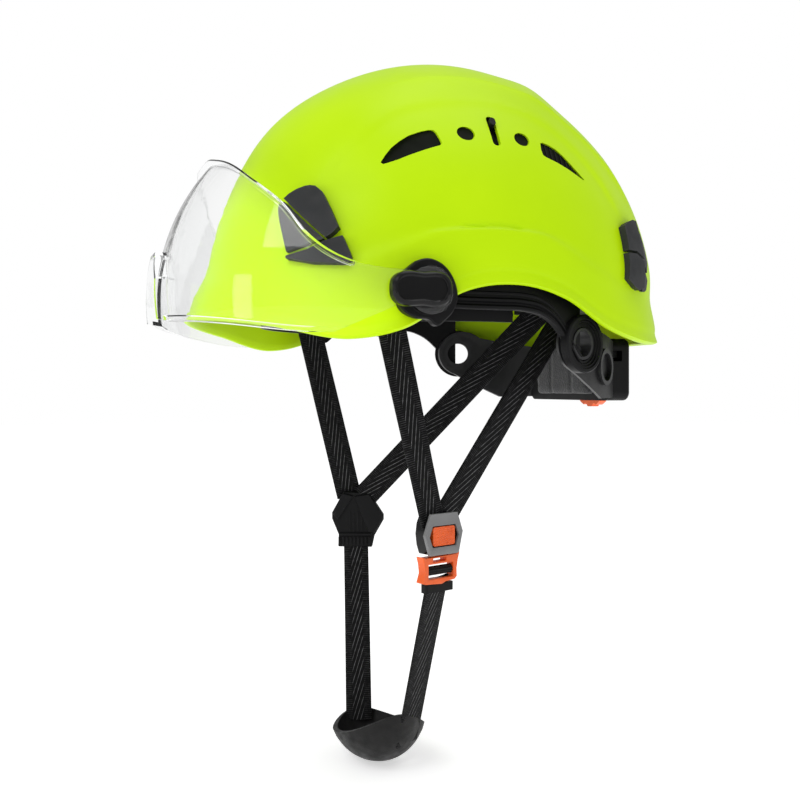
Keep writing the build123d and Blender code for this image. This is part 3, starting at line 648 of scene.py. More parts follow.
def shell_relief(p):
    """How far the moulded shell stands out from the smooth form, in millimetres."""
    x, y, z = np.abs(p[..., 0]), p[..., 1], p[..., 2]
    side = smoothstep(28.0, 52.0, x)

    # Fuller or flatter towards both ends, by the climb in degrees from brim to crown
    reach = FACE_X * np.abs(y - DOME_Y) + FACE_Y * x
    climb = np.degrees(np.arctan2((z - DOME_Z) / HEIGHT, reach / OUTLINE_REACH))
    spread = np.hypot(x / HALF_WIDTH, (y - DOME_Y) / HALF_LENGTH) * OUTLINE_REACH + 1e-6
    endwise = smoothstep(0.50, 0.95, reach / spread)
    back = smoothstep(-10.0, 30.0, y)
    out = -endwise * back * 1.0 * hump(climb, 52.0, 16.0)
    out += endwise * back * 2.2 * hump(climb, 66.0, 7.0)
    out += endwise * (1 - back) * 2.6 * hump(climb, 45.0, 14.0)
    out += endwise * back * 2.6 * smoothstep(56.0, 33.0, z)

    # Rolled rim with a shallow groove over it
    above = z - rim_z(y)
    out += 0.9 * hump(above, 0.0, 2.4) - 0.35 * hump(above, 5.5, 1.6)

    # Side crease, sharp in the middle, with a short groove on it
    above = z - side_crease_z(y)
    low = below_line(above, 0.7 + 2.2 * smoothstep(25.0, 60.0, np.abs(y - 2.0)))
    ends = stretch_along(y, -82.0, -60.0, 74.0, 96.0) * smoothstep(60.0, 80.0, x)
    out += ends * (low * 0.9 * fade(above, 16.0) - (1 - low) * 1.4 * fade(above, 9.0))
    out -= ends * stretch_along(y, -18.0, -13.0, 16.0, 21.0) * 0.9 * hump(above, 0.8, 0.9)

    # Edge of the sunken vent panel
    above = z - panel_edge_z(y)
    low = below_line(above, 1.6)
    out -= side * low * 1.3 * fade(above, 24.0) * stretch_along(y, -92.0, -70.0, 78.0, 96.0)

    # Crown ridge, steep below and gentle above
    above = z - crown_ridge_z(y)
    ridge = np.where(above > 0, fade(above, 14.0), fade(above, 3.0))
    out += side * 1.5 * ridge * stretch_along(y, -48.0, -12.0, 96.0, 118.0)
    return out


def outward(p):
    """Unit normals of the smooth form."""
    step = 0.5
    wide, long, middle = shell_sections(p[..., 2])
    over = shell_sections(p[..., 2] + step)
    under = shell_sections(p[..., 2] - step)

    def level(sections):
        return (p[..., 0] / np.maximum(sections[0], 1e-3)) ** 2 + (
            (p[..., 1] - sections[2]) / np.maximum(sections[1], 1e-3)
        ) ** 2

    n = np.stack([
        2 * p[..., 0] / np.maximum(wide, 1e-3) ** 2,
        2 * (p[..., 1] - middle) / np.maximum(long, 1e-3) ** 2,
        (level(over) - level(under)) / (2 * step),
    ], axis=-1)
    return n / np.linalg.norm(n, axis=-1, keepdims=True)


AROUND = 440


def shell_rows():
    """Rows of outside points from the rim up to the crown, for every turn."""
    turn = np.linspace(0, 2 * pi, AROUND, endpoint=False)
    foot = np.full(AROUND, 40.0)
    for _ in range(12):
        foot = rim_z(shell_point(turn, foot)[:, 1])
    rows = [shell_point(turn, foot + (SEAM_Z - foot) * t) for t in np.linspace(0, 1, 34)]
    start = np.arcsin((SEAM_Z - DOME_Z) / HEIGHT)
    climbs = np.concatenate([
        np.linspace(start, radians(20.0), 22)[1:],
        np.linspace(radians(20.0), radians(89.2), 112)[1:],
    ])
    rows += [shell_point(turn, np.full(AROUND, DOME_Z + HEIGHT * np.sin(c))) for c in climbs]
    return np.stack(rows)


def build_shell():
    """The moulded shell as one closed skin with a rounded rim."""
    base = shell_rows()
    n = outward(base)
    outside = base + n * shell_relief(base)[..., None]
    keep = list(range(0, 34, 3)) + list(range(34, base.shape[0], 5)) + [base.shape[0] - 1]
    inside = (base - n * WALL)[keep]
    lip = []
    for turn_in in (0.25, 0.5, 0.75):
        edge = outside[0] * (1 - turn_in) + inside[0] * turn_in
        edge[:, 2] -= 1.1 * sin(pi * turn_in)
        lip.append(edge)
    loop = np.concatenate([inside[::-1], np.stack(lip[::-1]), outside])
    count = loop.shape[0]
    verts = [tuple(v) for v in loop.reshape(-1, 3)]
    top, under = tuple(outside[-1].mean(0)), tuple(inside[-1].mean(0))
    verts += [top, under]
    faces = rings(count, AROUND)
    last = (count - 1) * AROUND
    for k in range(AROUND):
        m = (k + 1) % AROUND
        faces.append([last + k, last + m, count * AROUND])
        faces.append([m, k, count * AROUND + 1])
    return make("shell_moulded", verts, faces, SHELL, sharp=50.0)


FRONT_VENT = (
    (-52.6, 115.6), (-50, 119.5), (-46.5, 123.8), (-42, 127.6), (-36.5, 131.3), (-30, 133.9),
    (-25, 135.2), (-23, 134.9), (-21.8, 133.4), (-20.6, 129.6), (-20.2, 127.4), (-21.0, 126.2),
    (-25, 124.9), (-31, 122.7), (-38, 119.9), (-44, 117.2), (-49, 115.4), (-51.6, 114.6),
)
REAR_VENT = (
    (38.6, 133.0), (40.2, 133.6), (44, 132.8), (48.5, 130.9), (53, 127.4), (58, 122.4), (63, 117.4),
    (65.6, 114.9), (65.0, 114.4), (60, 116.8), (54, 119.6), (47, 122.4), (40, 124.6), (38.2, 125.6),
    (37.8, 129),
)


def oval(y, z, half_y, half_z, count=28):
    """Points of an ellipse as (Y, Z)."""
    turns = [2 * pi * i / count for i in range(count)]
    return [(y + half_y * cos(turn), z + half_z * sin(turn)) for turn in turns]


def slot_outline(y, z, half_width, half_height, lean):
    """A narrow upright slot with round ends, leaning back at the bottom."""
    points = []
    for i in range(24):
        turn = 2 * pi * i / 24
        dz = half_width * sin(turn) + (half_height - half_width) * (1 if sin(turn) >= 0 else -1)
        points.append((y + half_width * cos(turn) - lean * dz / half_height, z + dz))
    return points


def build_vents(shell):
    """Cut the vents through both sides."""
    outlines = [
        FRONT_VENT, REAR_VENT, oval(-6.1, 134, 4.9, 4.1), oval(26.6, 133.6, 4.7, 4.0),
        slot_outline(10.3, 137.0, 2.4, 9.0, 0.1),
    ]
    cutters = []
    for index, outline in enumerate(outlines):
        for side in (1, -1):
            middle = (side * 85, 0, 0)
            cutters.append(prism(f"cutter{index}", outline, middle, (0, 1, 0), (0, 0, 1), -45, 45, SHELL))
    return cut(shell, joined("cutters", *cutters))


shell = build_vents(build_shell())
shell.data.shade_smooth()
shell.data.set_sharp_from_angle(angle=radians(50))
place(shell, "helmet", "shell", "shell")


# ---------------------------------------------------------------- vent inserts
PATCH = 3.0
SCREEN_SINK = 2.0
SCREEN_WALL = 0.6
BAR_SINK = 1.5
CLIP_SEAT = 0.4


def side_seat(y, z, sink):
    """The point of the left side at a depth and height, sunk below the outside."""
    wide, long, middle = (float(v) for v in shell_sections(np.array(float(z))))
    x = wide * np.sqrt(max(1.0 - ((y - middle) / long) ** 2, 0.0))
    p = np.array([x, y, z])
    return p - outward(p) * sink


def draped(name, outline, cuts, settle, material):
    """A plate cut into patches; settle gives the top and foot points of a flat spot."""
    flat = bmesh.new()
    flat.faces.new([flat.verts.new((u, v, 0)) for u, v in outline])
    for step, normal in cuts:
        bmesh.ops.bisect_plane(
            flat, geom=flat.verts[:] + flat.edges[:] + flat.faces[:],
            plane_co=Vector(normal) * step, plane_no=normal,
        )
    flat.verts.index_update()
    pairs = [settle(v.co.x, v.co.y) for v in flat.verts]
    count = len(pairs)
    faces = [[v.index for v in f.verts] for f in flat.faces]
    faces += [[v.index + count for v in f.verts][::-1] for f in flat.faces]
    for edge in flat.edges:
        if len(edge.link_faces) == 1:
            a, b = (v.index for v in edge.verts)
            faces.append([a, b, b + count, a + count])
    flat.free()
    return make(name, [top for top, foot in pairs] + [foot for top, foot in pairs], faces, material)


def insert_plate(name, outline, sink, material):
    """A thin plate that follows the shell a little below its outside."""
    cuts = []
    for axis, normal in ((0, (1, 0, 0)), (1, (0, 1, 0))):
        low, high = (pick(p[axis] for p in outline) for pick in (min, max))
        cuts += [(step + 0.13, normal) for step in np.arange(low + PATCH, high, PATCH)]

    def settle(y, z):
        return side_seat(y, z, sink), side_seat(y, z, sink + SCREEN_WALL)

    return draped(name, outline, cuts, settle, material)


def grown(outline, amount):
    """An outline made a little larger all round."""
    centre = np.mean(np.array(outline, float), axis=0)
    out = []
    for p in outline:
        away = np.array(p, float) - centre
        out.append(tuple(np.array(p, float) + away / np.linalg.norm(away) * amount))
    return out


screen_top = curve_through((
    (37, 133.0), (40.2, 133.6), (48.5, 130.9), (53, 127.4), (58, 122.4), (66, 114.9),
))
screen_bottom = curve_through(((37, 126.0), (47, 122.4), (54, 119.6), (60, 116.8), (66, 114.0)))


def build_screens():
    """Dark screens behind the vents, with upright bars behind the rear one."""
    parts = [
        insert_plate("screen_front", grown(FRONT_VENT, 1.2), SCREEN_SINK, VOID),
        insert_plate("screen_rear", grown(REAR_VENT, 1.2), SCREEN_SINK, VOID),
        insert_plate("screen_hole_a", oval(-6.1, 134, 6.0, 5.2), SCREEN_SINK, VOID),
        insert_plate("screen_hole_b", oval(26.6, 133.6, 5.8, 5.1), SCREEN_SINK, VOID),
    ]
    for step in range(9):
        y = 38.5 + 3.2 * step
        top, bottom = float(screen_top(y)), float(screen_bottom(y))
        if top - bottom > 1.5:
            bar = ((y, bottom), (y + 0.7, bottom), (y + 0.7, top), (y, top))
            parts.append(insert_plate("screen_bar", bar, BAR_SINK, SATIN))
    return joined("left_vent_screen", *parts)


place_pair(build_screens(), "helmet", "black_plastic", "vent_mesh")


# ---------------------------------------------------------------- lamp clips
def drop_on_shell(origin, direction):
    """Where a line from inside the helmet leaves the smooth form."""
    low, high = 0.0, 160.0
    for _ in range(40):
        middle = (low + high) / 2
        p = origin + direction * middle
        wide, long, centre = shell_sections(np.array(p.z))
        if (p.x / wide) ** 2 + ((p.y - centre) / long) ** 2 < 1 and p.z < DOME_Z + HEIGHT:
            low = middle
        else:
            high = middle
    return origin + direction * low


def facet(name, outline, heights, plane, material):
    """A moulded plate lying on the shell. heights is its height at (0, 0) and slope each way."""
    origin, x_dir, z_dir = (Vector(v) for v in plane)
    cuts = [(step + 0.37, normal) for step in range(-24, 25, 3) for normal in ((1, 0, 0), (0, 1, 0))]

    def settle(u, v):
        seat = drop_on_shell(origin + x_dir * u + Vector((0, 0, 1)) * v, z_dir)
        n = Vector(outward(np.array(seat)))
        return seat + n * (heights[0] + heights[1] * u + heights[2] * v), seat - n * CLIP_SEAT

    return bevel(draped(name, outline, cuts, settle, material), 0.7, 2, 40.0)


FRONT_PLANE = ((50, -60, 81), (0.78, 0.62, 0), (0.62, -0.78, 0))
REAR_PLANE = ((40, 60, 75), (-0.78, 0.62, 0), (0.62, 0.78, 0))
FRONT_FACETS = (
    ((
        (-16.7, 15.2), (-14.1, 17.5), (-10.2, 19.6), (-5.9, 20.9), (-3.2, 21.1), (-0.1, 20.5), (4.0, 17.3),
        (9.6, 8.3), (14.5, -0.8), (13.0, -2.8), (11.2, -4.6), (8.8, -6.0),
    ), (4.4, 0.02, 0.02)),
    ((
        (-19.3, 14.0), (-17.2, 14.4), (8.0, -6.6), (-0.1, -8.8), (-11.6, -12.4), (-19.6, 8.4), (-20.3, 10.8),
    ), (3.4, 0.05, 0.0)),
    ((
        (-11.1, -14.8), (0.4, -11.7), (8.0, -7.8), (11.7, -6.6), (16.8, -5.3), (21.4, -14.7), (22.2, -18.1),
        (18.4, -19.6), (3.3, -18.9), (-11.1, -16.1),
    ), (4.6, 0.0, 0.06)),
)
REAR_FACETS = (
    ((
        (-13.6, 15.0), (-9, 17.4), (-2, 19.6), (2.8, 19.6), (2.8, -1.6), (-6, 1.6), (-14.8, 1.4),
    ), (4.2, 0.03, 0.0)),
    ((
        (3.4, 19.4), (7.5, 17.2), (12.6, 13.8), (16.0, 5.0), (17.4, -1.6), (11, -8.4), (3.4, -2.2),
    ), (3.2, -0.10, 0.0)),
    ((
        (-15.0, 0.0), (-6.4, 0.2), (2.4, -3.2), (3.0, -17.6), (-3, -19.6), (-8, -18.4), (-15.6, -14.4),
    ), (4.2, 0.04, 0.05)),
    ((
        (3.0, -3.6), (10.6, -9.6), (15.4, -12.4), (13.8, -18.0), (9, -19.4), (3.6, -19.6),
    ), (2.9, -0.08, 0.04)),
)
for end, plane, facets in (("front", FRONT_PLANE, FRONT_FACETS), ("rear", REAR_PLANE, REAR_FACETS)):
    plates = [facet(f"{end}_facet{i}", *parts, plane, CLIP) for i, parts in enumerate(facets)]
    place_pair(joined(f"left_{end}_clip_moulded", *plates), "helmet", "clip_plastic", f"{end}_lamp_clip")


# ---------------------------------------------------------------- visor knob and bracket
def rounded_stack(name, outline, x_levels, material):
    """A button-like solid along +X from an outline (Y, Z) and (x, inset) levels."""
    points = np.array(outline, float)
    ahead, behind = np.roll(points, -1, axis=0), np.roll(points, 1, axis=0)
    tangent = ahead - behind
    normal = np.stack([tangent[:, 1], -tangent[:, 0]], axis=1)
    normal /= np.linalg.norm(normal, axis=1, keepdims=True)
    centre = points.mean(0)
    if ((points - centre) * normal).sum() < 0:
        normal = -normal
    verts = []
    count = len(points)
    for x, inset in x_levels:
        ring = points - normal * inset
        verts += [(x, p[0], p[1]) for p in ring]
    faces = rings(len(x_levels), count)
    faces.append(list(range(count))[::-1])
    faces.append([(len(x_levels) - 1) * count + k for k in range(count)])
    return make(name, verts, faces, material)


def knob_outline(count=72):
    """Two round ends joined by a slightly waisted middle, as (Y, Z)."""
    points = []
    for i in range(count):
        turn = 2 * pi * i / count
        y = -6.5 + 15.5 * np.sign(cos(turn)) * abs(cos(turn)) ** 0.62
        z = 9.0 * np.sign(sin(turn)) * abs(sin(turn)) ** 0.72
        z *= 1.0 - 0.10 * hump(y, -6.5, 5.0)
        points.append((PIVOT_Y + y, PIVOT_Z + z))
    return points


def build_knob():
    """The visor's side knob: domed dog-bone with a raised arc round the pivot end."""
    body = rounded_stack("knob_body", knob_outline(), (
        (110.7, 0.6), (111.2, 0.0), (115.6, 0.0), (116.8, 0.35),
        (117.6, 1.1), (118.0, 2.2), (117.3, 3.0), (117.2, 5.0),
    ), GLOSS)
    arc = []
    for i in range(15):
        turn = radians(-70 + 10 * i)
        arc.append((cos(turn), sin(turn)))
    outline = [(PIVOT_Y - 0.2 + 6.9 * c, PIVOT_Z + 6.9 * s) for c, s in arc]
    outline += [(PIVOT_Y - 0.2 + 6.0 * c, PIVOT_Z + 6.0 * s) for c, s in arc[::-1]]
    rib = prism("knob_rib", outline, (0, 0, 0), (0, 1, 0), (0, 0, 1), 116.8, 118.1, GLOSS)
    return joined("left_knob_moulded", body, bevel(rib, 0.25, 2))


BRACKET_OUTLINE = (
    (-52.6, 43), (-53.0, 49), (-50.5, 55.5), (-46, 60), (-41.5, 63.2), (-36, 64.2), (-30.5, 62.6),
    (-26, 59.2), (-22.6, 54), (-20.8, 48), (-21.2, 42.4), (-23.6, 37.4), (-27.0, 34.0), (-30.6, 31.0),
    (-33.2, 31.4), (-36.4, 34.0), (-43, 34.6), (-49.4, 37.6),
)


def smooth_loop(points, per_span=5):
    """A closed outline rounded through its points."""
    p = np.array(points, float)
    count = len(p)
    out = []
    for i in range(count):
        a, b, c, d = p[i - 1], p[i], p[(i + 1) % count], p[(i + 2) % count]
        for k in range(per_span):
            t = k / per_span
            out.append(tuple(spline(a, b, c, d, t)))
    return out


def build_bracket():
    """Bracket moulded against the shell, stepped round the pivot."""
    outline = smooth_loop(BRACKET_OUTLINE)
    base = rounded_stack("bracket_base", outline, ((100.5, 0.0), (105.4, 0.0), (106.2, 0.8)), SATIN)
    ring = lathe("bracket_ring", (
        (3.1, 105.9), (3.1, 107.3), (11.0, 107.3), (11.6, 106.9), (12.0, 105.9),
    ), (0, PIVOT_Y, PIVOT_Z), (1, 0, 0), SATIN)
    return joined("left_bracket_moulded", base, ring)


place_pair(build_knob(), "visor", "gloss_black", "visor_knob")
place_pair(build_bracket(), "helmet", "black_plastic", "visor_bracket")

LENS_PULL_FROM = 18.0
LENS_PULL = 0.17


def build_lens():
    """The CAD lens with its top edge drawn down over the peak, lips and all."""
    mesh = NODES["visor_lens"].data.copy()
    mesh.name = "visor_lens_moulded"
    co = positions(mesh) / MM
    ahead, up = PIVOT_Y - co[:, 1], co[:, 2] - PIVOT_Z
    reach = np.hypot(ahead, up)
    climb = np.degrees(np.arctan2(up, ahead))
    pull = LENS_PULL * smoothstep(55.0, 105.0, reach)
    climb = np.where(climb > LENS_PULL_FROM, LENS_PULL_FROM + (climb - LENS_PULL_FROM) * (1 - pull), climb)
    co[:, 1] = PIVOT_Y - reach * np.cos(np.radians(climb))
    co[:, 2] = PIVOT_Z + reach * np.sin(np.radians(climb))
    reposition(mesh, co * MM)
    mesh.materials.clear()
    mesh.materials.append(LENS)
    lens = linked("visor_lens_moulded", mesh)
    lens.visible_shadow = False
    return lens


place(build_lens(), "visor", "visor_clear", "visor_lens")


# ---------------------------------------------------------------- suspension arms
ARM_BOTTOM = (
    (-24, 41.2), (-10, 40.6), (6, 40.4), (20, 40.2), (32, 38.0), (40, 33.5), (46, 27.5), (51, 21.5),
    (56, 15), (64, 10),
)
ARM_SECTION = (
    (0.0, 0.0), (0.0, 1.5), (0.5, 2.1), (1.7, 2.1), (2.2, 1.5), (2.7, 0.9), (3.5, 0.9), (4.0, 1.5),
    (4.4, 1.9), (5.4, 1.9), (5.9, 1.4), (6.4, 0.8), (7.6, 0.7), (8.2, 1.1), (9.0, 1.1), (9.6, 0.5),
)
arm_bottom_z = curve_through(ARM_BOTTOM)


def band_point(y, inset):
    """A point of the suspension's oval at a depth Y, moved inwards, and its outward normal."""
    wide, long = ARM_HALF_WIDTH - inset, ARM_HALF_LENGTH - inset
    x = wide * np.sqrt(max(1 - ((y - BAND_Y) / long) ** 2, 0))
    n = Vector((x / wide**2, (y - BAND_Y) / long**2, 0)).normalized()
    return Vector((x, y, 0)), n


def build_arm():
    """Arched arm with lengthwise ribs that sweeps down into a stepped pivot disc."""
    stations = np.linspace(-24, 59, 60)
    verts = []
    section = [(z, 0.3 + n) for z, n in ARM_SECTION]
    count = len(section) + 4
    for y in stations:
        bottom = float(arm_bottom_z(y))
        top = 59.4 - 1.4 * float(smoothstep(30.0, 60.0, y))
        seat, n = band_point(y, 1.2)
        ring = [seat + n * out + Vector((0, 0, bottom + z)) for z, out in section]
        ring += [
            seat + n * 0.6 + Vector((0, 0, max(top - 2.0, bottom + 11.0))),
            seat + n * 0.6 + Vector((0, 0, max(top, bottom + 12.5))),
            seat - n * 2.0 + Vector((0, 0, max(top, bottom + 12.5))),
            seat - n * 2.0 + Vector((0, 0, bottom)),
        ]
        verts += ring
    faces = rings(len(stations), count)
    faces.append(list(range(count)))
    faces.append([(len(stations) - 1) * count + k for k in range(count)][::-1])
    arch = make("arm_arch", verts, faces, SATIN, sharp=28.0)
    axis = (cos(HUB_TURN), sin(HUB_TURN), 0)
    disc = lathe("arm_disc", (
        (9.35, -2.5), (9.35, 0.2), (10.6, 0.2), (10.9, 0.9), (12.0, 0.9), (12.3, 1.7), (13.4, 1.7),
        (13.7, 2.4),
        (15.2, 2.4), (15.9, 1.8), (16.0, 0.5), (16.0, -2.5),
    ), HUB, axis, SATIN, 72)
    stem = ((0.4, -2.0), (0.4, 4.4), (2.6, 4.4), (4.0, 3.4), (4.0, -2.0))
    peg = lathe("arm_peg", stem, (82, -14, 52), (1, 0, 0), SATIN, 24)
    tab = ((-5, 55), (21, 55), (21, 59.4), (-5, 59.4))
    lug = prism("arm_lug", tab, (96, 0, 0), (0, 1, 0), (0, 0, 1), 0, 5.5, SATIN)
    return joined("left_arm_moulded", arch, disc, peg, lug)


place_pair(build_arm(), "helmet", "black_plastic", "suspension_arm")


# ---------------------------------------------------------------- webbing
WEB_SECTION = (
    (-8.0, 0.0), (-7.8, 0.55), (-7.2, 0.75), (-5.0, 0.62), (-2.5, 0.66), (0.0, 0.68), (2.5, 0.66),
    (5.0, 0.62), (7.2, 0.75), (7.8, 0.55), (8.0, 0.0), (7.8, -0.55), (7.2, -0.75), (5.0, -0.62),
    (2.5, -0.66), (0.0, -0.68), (-2.5, -0.66), (-5.0, -0.62), (-7.2, -0.75), (-7.8, -0.55),
)


def webbing(name, stations, steps=14):
    """Flat woven strap through (centre, direction its face looks) stations."""
    centres = [Vector(centre) for centre, face in stations]
    looks = [Vector(face).normalized() for centre, face in stations]
    path = []
    for i in range(len(centres) - 1):
        a, b = centres[max(i - 1, 0)], centres[i]
        c, d = centres[i + 1], centres[min(i + 2, len(centres) - 1)]
        for k in range(steps + (i == len(centres) - 2)):
            t = k / steps
            path.append((spline(a, b, c, d, t), looks[i].lerp(looks[i + 1], t)))
    verts, uvs = [], []
    count = len(WEB_SECTION)
    travelled = 0.0
    for i, (spot, look) in enumerate(path):
        along = (path[min(i + 1, len(path) - 1)][0] - path[max(i - 1, 0)][0]).normalized()
        across = look.cross(along).normalized()
        thick = along.cross(across).normalized()
        if i:
            travelled += (spot - path[i - 1][0]).length
        for u, h in WEB_SECTION:
            verts.append(spot + across * u + thick * h)
            uvs.append((u / 10, travelled / 10))
    faces = rings(len(path), count)
    faces.append(list(range(count)))
    faces.append([(len(path) - 1) * count + k for k in range(count)][::-1])
    return make(name, verts, faces, WEBBING, sharp=60.0, uvs=uvs)


BUCKLE_TOP = BUCKLE + Vector((0, 0, 11))
FRONT_END = BUCKLE_TOP - LEFT_FACE_X * 5 + LEFT_FACE * 1.7 - Vector((0, 0, 6))
REAR_END = BUCKLE_TOP + LEFT_FACE_X * 5 - LEFT_FACE * 2.6 - Vector((0, 0, 6))
FRONT_ANCHOR = Vector((79, -50, 46))
REAR_ANCHOR = YOKE + (YOKE - REAR_END).normalized() * 6

for side, hand in ((1, "left"), (-1, "right")):
    front = webbing(f"{hand}_front_webbing", [
        (FRONT_ANCHOR, (1, 0, 0)),
        (FRONT_ANCHOR.lerp(FRONT_END, 0.35), (0.99, 0.10, 0)),
        (FRONT_ANCHOR.lerp(FRONT_END, 0.7), (0.96, 0.26, 0)),
        (FRONT_END, LEFT_FACE),
    ])
    rear = webbing(f"{hand}_rear_webbing", [
        (REAR_ANCHOR, LEFT_FACE),
        (REAR_ANCHOR.lerp(REAR_END, 0.5), LEFT_FACE),
        (REAR_END, LEFT_FACE),
    ])
    if side < 0:
        mirror_front = mirrored(front, "right_front_webbing_m")
        mirror_rear = mirrored(rear, "right_rear_webbing_m")
        bpy.data.objects.remove(front)
        bpy.data.objects.remove(rear)
        front, rear = mirror_front, mirror_rear
    place(front, "helmet", "webbing", f"{hand}_front_strap")
    place(rear, "helmet", "webbing", f"{hand}_rear_strap")

left_chin = webbing("left_chin_webbing", [
    ((71.3, -18, -100.8), LEFT_FACE), ((49.5, -18.2, -149), LEFT_FACE), ((25, -18.5, -203.5), LEFT_FACE),
])
place(left_chin, "helmet", "webbing", "left_chin_strap")
right_chin = webbing("right_chin_webbing", [
    ((-72, -18.5, -99), RIGHT_FACE), ((-55, -22.8, -152), RIGHT_FACE), ((-37, -27.5, -208), RIGHT_FACE),
])
place(right_chin, "helmet", "webbing", "right_chin_strap")


# ---------------------------------------------------------------- buckle
BODY_OUTLINE = (
    (-9.4, 10.6), (9.4, 10.6), (11.6, 6.0), (12.4, 0.5), (11.6, -5.5), (9.8, -10.4), (-9.8, -10.4),
    (-11.6, -5.5), (-12.4, 0.5), (-11.6, 6.0),
)
FACE_OUTLINE = ((-9.6, 11.0), (9.4, 11.0), (13.4, 0.6), (10.4, -10.8), (-10.4, -10.8), (-14.0, 0.2))
POCKET_OUTLINE = ((-8.4, 4.6), (8.4, 4.6), (10.6, -1.0), (8.4, -6.6), (-8.4, -6.6), (-10.6, -1.0))
TONGUE_OUTLINE = (
    (-13.2, 7.2), (-11.0, 6.4), (11.0, 6.8), (13.6, 7.6), (12.4, 4.0), (11.4, -1.0), (11.6, -5.4),
    (9.8, -6.8), (3.4, -7.2), (0.6, -8.2), (-10.8, -7.4), (-13.2, -6.6), (-11.4, -1.6), (-12.0, 3.2),
)
TONGUE = Vector((72, -18, -95.5))


def buckle_prism(name, outline, centre, low, high, material):
    """A plate parallel to the buckle's face."""
    return prism(name, outline, centre, LEFT_FACE_X, (0, 0, 1), low, high, material)


def build_buckle():
    """Glossy black body with strap slots and a grey six-sided face round the button."""
    body = buckle_prism("buckle_body", BODY_OUTLINE, BUCKLE, 4.2, -4.5, GLOSS)
    face = buckle_prism("buckle_face", FACE_OUTLINE, BUCKLE, 5.4, 3.6, FACEPLATE)
    parts = []
    for piece, width in ((body, 0.9), (face, 0.5)):
        pocket = buckle_prism("pocket", POCKET_OUTLINE, BUCKLE, 9.0, -1.4, piece.data.materials[0])
        cut(piece, pocket)
        parts.append(bevel(piece, width, 3, 35))
    prong = ((-6.4, -10.9), (6.4, -10.9), (6.4, -7.2), (-6.4, -7.2))
    cut(parts[0], buckle_prism("prong", prong, BUCKLE, 1.5, -1.5, GLOSS))
    bevel(parts[0], 0.9, 3, 35)
    return joined("buckle_moulded", *parts)


def build_tongue():
    """Orange tongue: flared shoulders, strap window, small slot and a prong."""
    plate = buckle_prism("tongue_plate", TONGUE_OUTLINE, TONGUE, 2.7, -2.7, ORANGE)
    window = ((-8.9, -5.1), (8.9, -5.1), (8.9, 2.7), (-8.9, 2.7))
    slot = ((-5.6, 3.8), (3.8, 3.9), (3.8, 5.9), (-5.6, 5.8))
    for hole in (window, slot):
        cut(plate, buckle_prism("hole", hole, TONGUE, 9.0, -9.0, ORANGE))
    bevel(plate, 0.6, 3, 35)
    tip = ((-6.1, 6.2), (6.1, 6.2), (5.4, 11.1), (-5.4, 11.1))
    prong = buckle_prism("tongue_prong", tip, TONGUE, 1.3, -1.3, ORANGE)
    return joined("tongue_moulded", plate, bevel(prong, 0.3, 2, 35))


place(build_buckle(), "helmet", "gloss_black", "buckle_housing")
place(build_tongue(), "helmet", "orange", "buckle_tongue")


# ---------------------------------------------------------------- divider
DIVIDER_X = Vector((-FACE_Y, -FACE_X, 0))
DIVIDER = Vector((-72, -18.5, -86))


def divider_plate(name, outline, low, high, width):
    """A bevelled plate in the divider's plane."""
    return bevel(prism(name, outline, DIVIDER, DIVIDER_X, (0, 0, 1), low, high, SATIN), width, 2, 40)


DIVIDER_OUTLINE = (
    (7.9, 17.9), (-8.7, 17.2), (-18.4, 2.6), (-18.4, -0.7), (-12.4, -11.2), (-10.8, -18.8),
    (11.6, -18.5), (11.2, -10.6), (15.6, 0.0), (15.6, 4.0),
)
DIVIDER_BAR = ((8.2, 17.0), (1.5, 15.0), (11.4, -0.9), (15.2, 3.6))
DIVIDER_WING = ((0.6, 14.6), (-8.9, 16.6), (-17.8, 2.8), (-17.8, -0.6), (-12.0, -9.8), (-8.4, -8.6))


def build_divider():
    """Three-way strap slide: frame with a slanting bar, a smooth wing and a beaded foot."""
    parts = [divider_plate("divider_frame", DIVIDER_OUTLINE, -2.9, 2.9, 0.8)]
    for low, high in ((-4.6, -2.6), (2.6, 4.2)):
        parts.append(divider_plate("divider_bar", DIVIDER_BAR, low, high, 0.6))
        parts.append(divider_plate("divider_wing", DIVIDER_WING, low, high, 0.6))
        foot = ((-10.2, -9.4), (10.6, -9.4), (10.9, -11.0), (-10.6, -11.0))
        parts.append(divider_plate("divider_foot", foot, low, high, 0.4))
        for column in range(9):
            x = -9.8 + 2.45 * column
            bead = ((x, -17.6), (x + 1.5, -17.6), (x + 1.5, -11.8), (x, -11.8))
            parts.append(divider_plate("divider_bead", bead, low + 0.4, high - 0.4, 0.4))
        for column in range(4):
            x = -4.6 + 2.6 * column
            top = 3.0 + 1.6 * (column % 2)
            thread = ((x, -8.6), (x + 0.9, -8.6), (x + 0.9, top), (x, top))
            parts.append(divider_plate("divider_thread", thread, low + 0.9, high - 0.9, 0.25))
    return joined("divider_moulded", *parts)


place(build_divider(), "helmet", "black_plastic", "strap_divider")


# ---------------------------------------------------------------- chin cup
CUP_TILT = -13.0


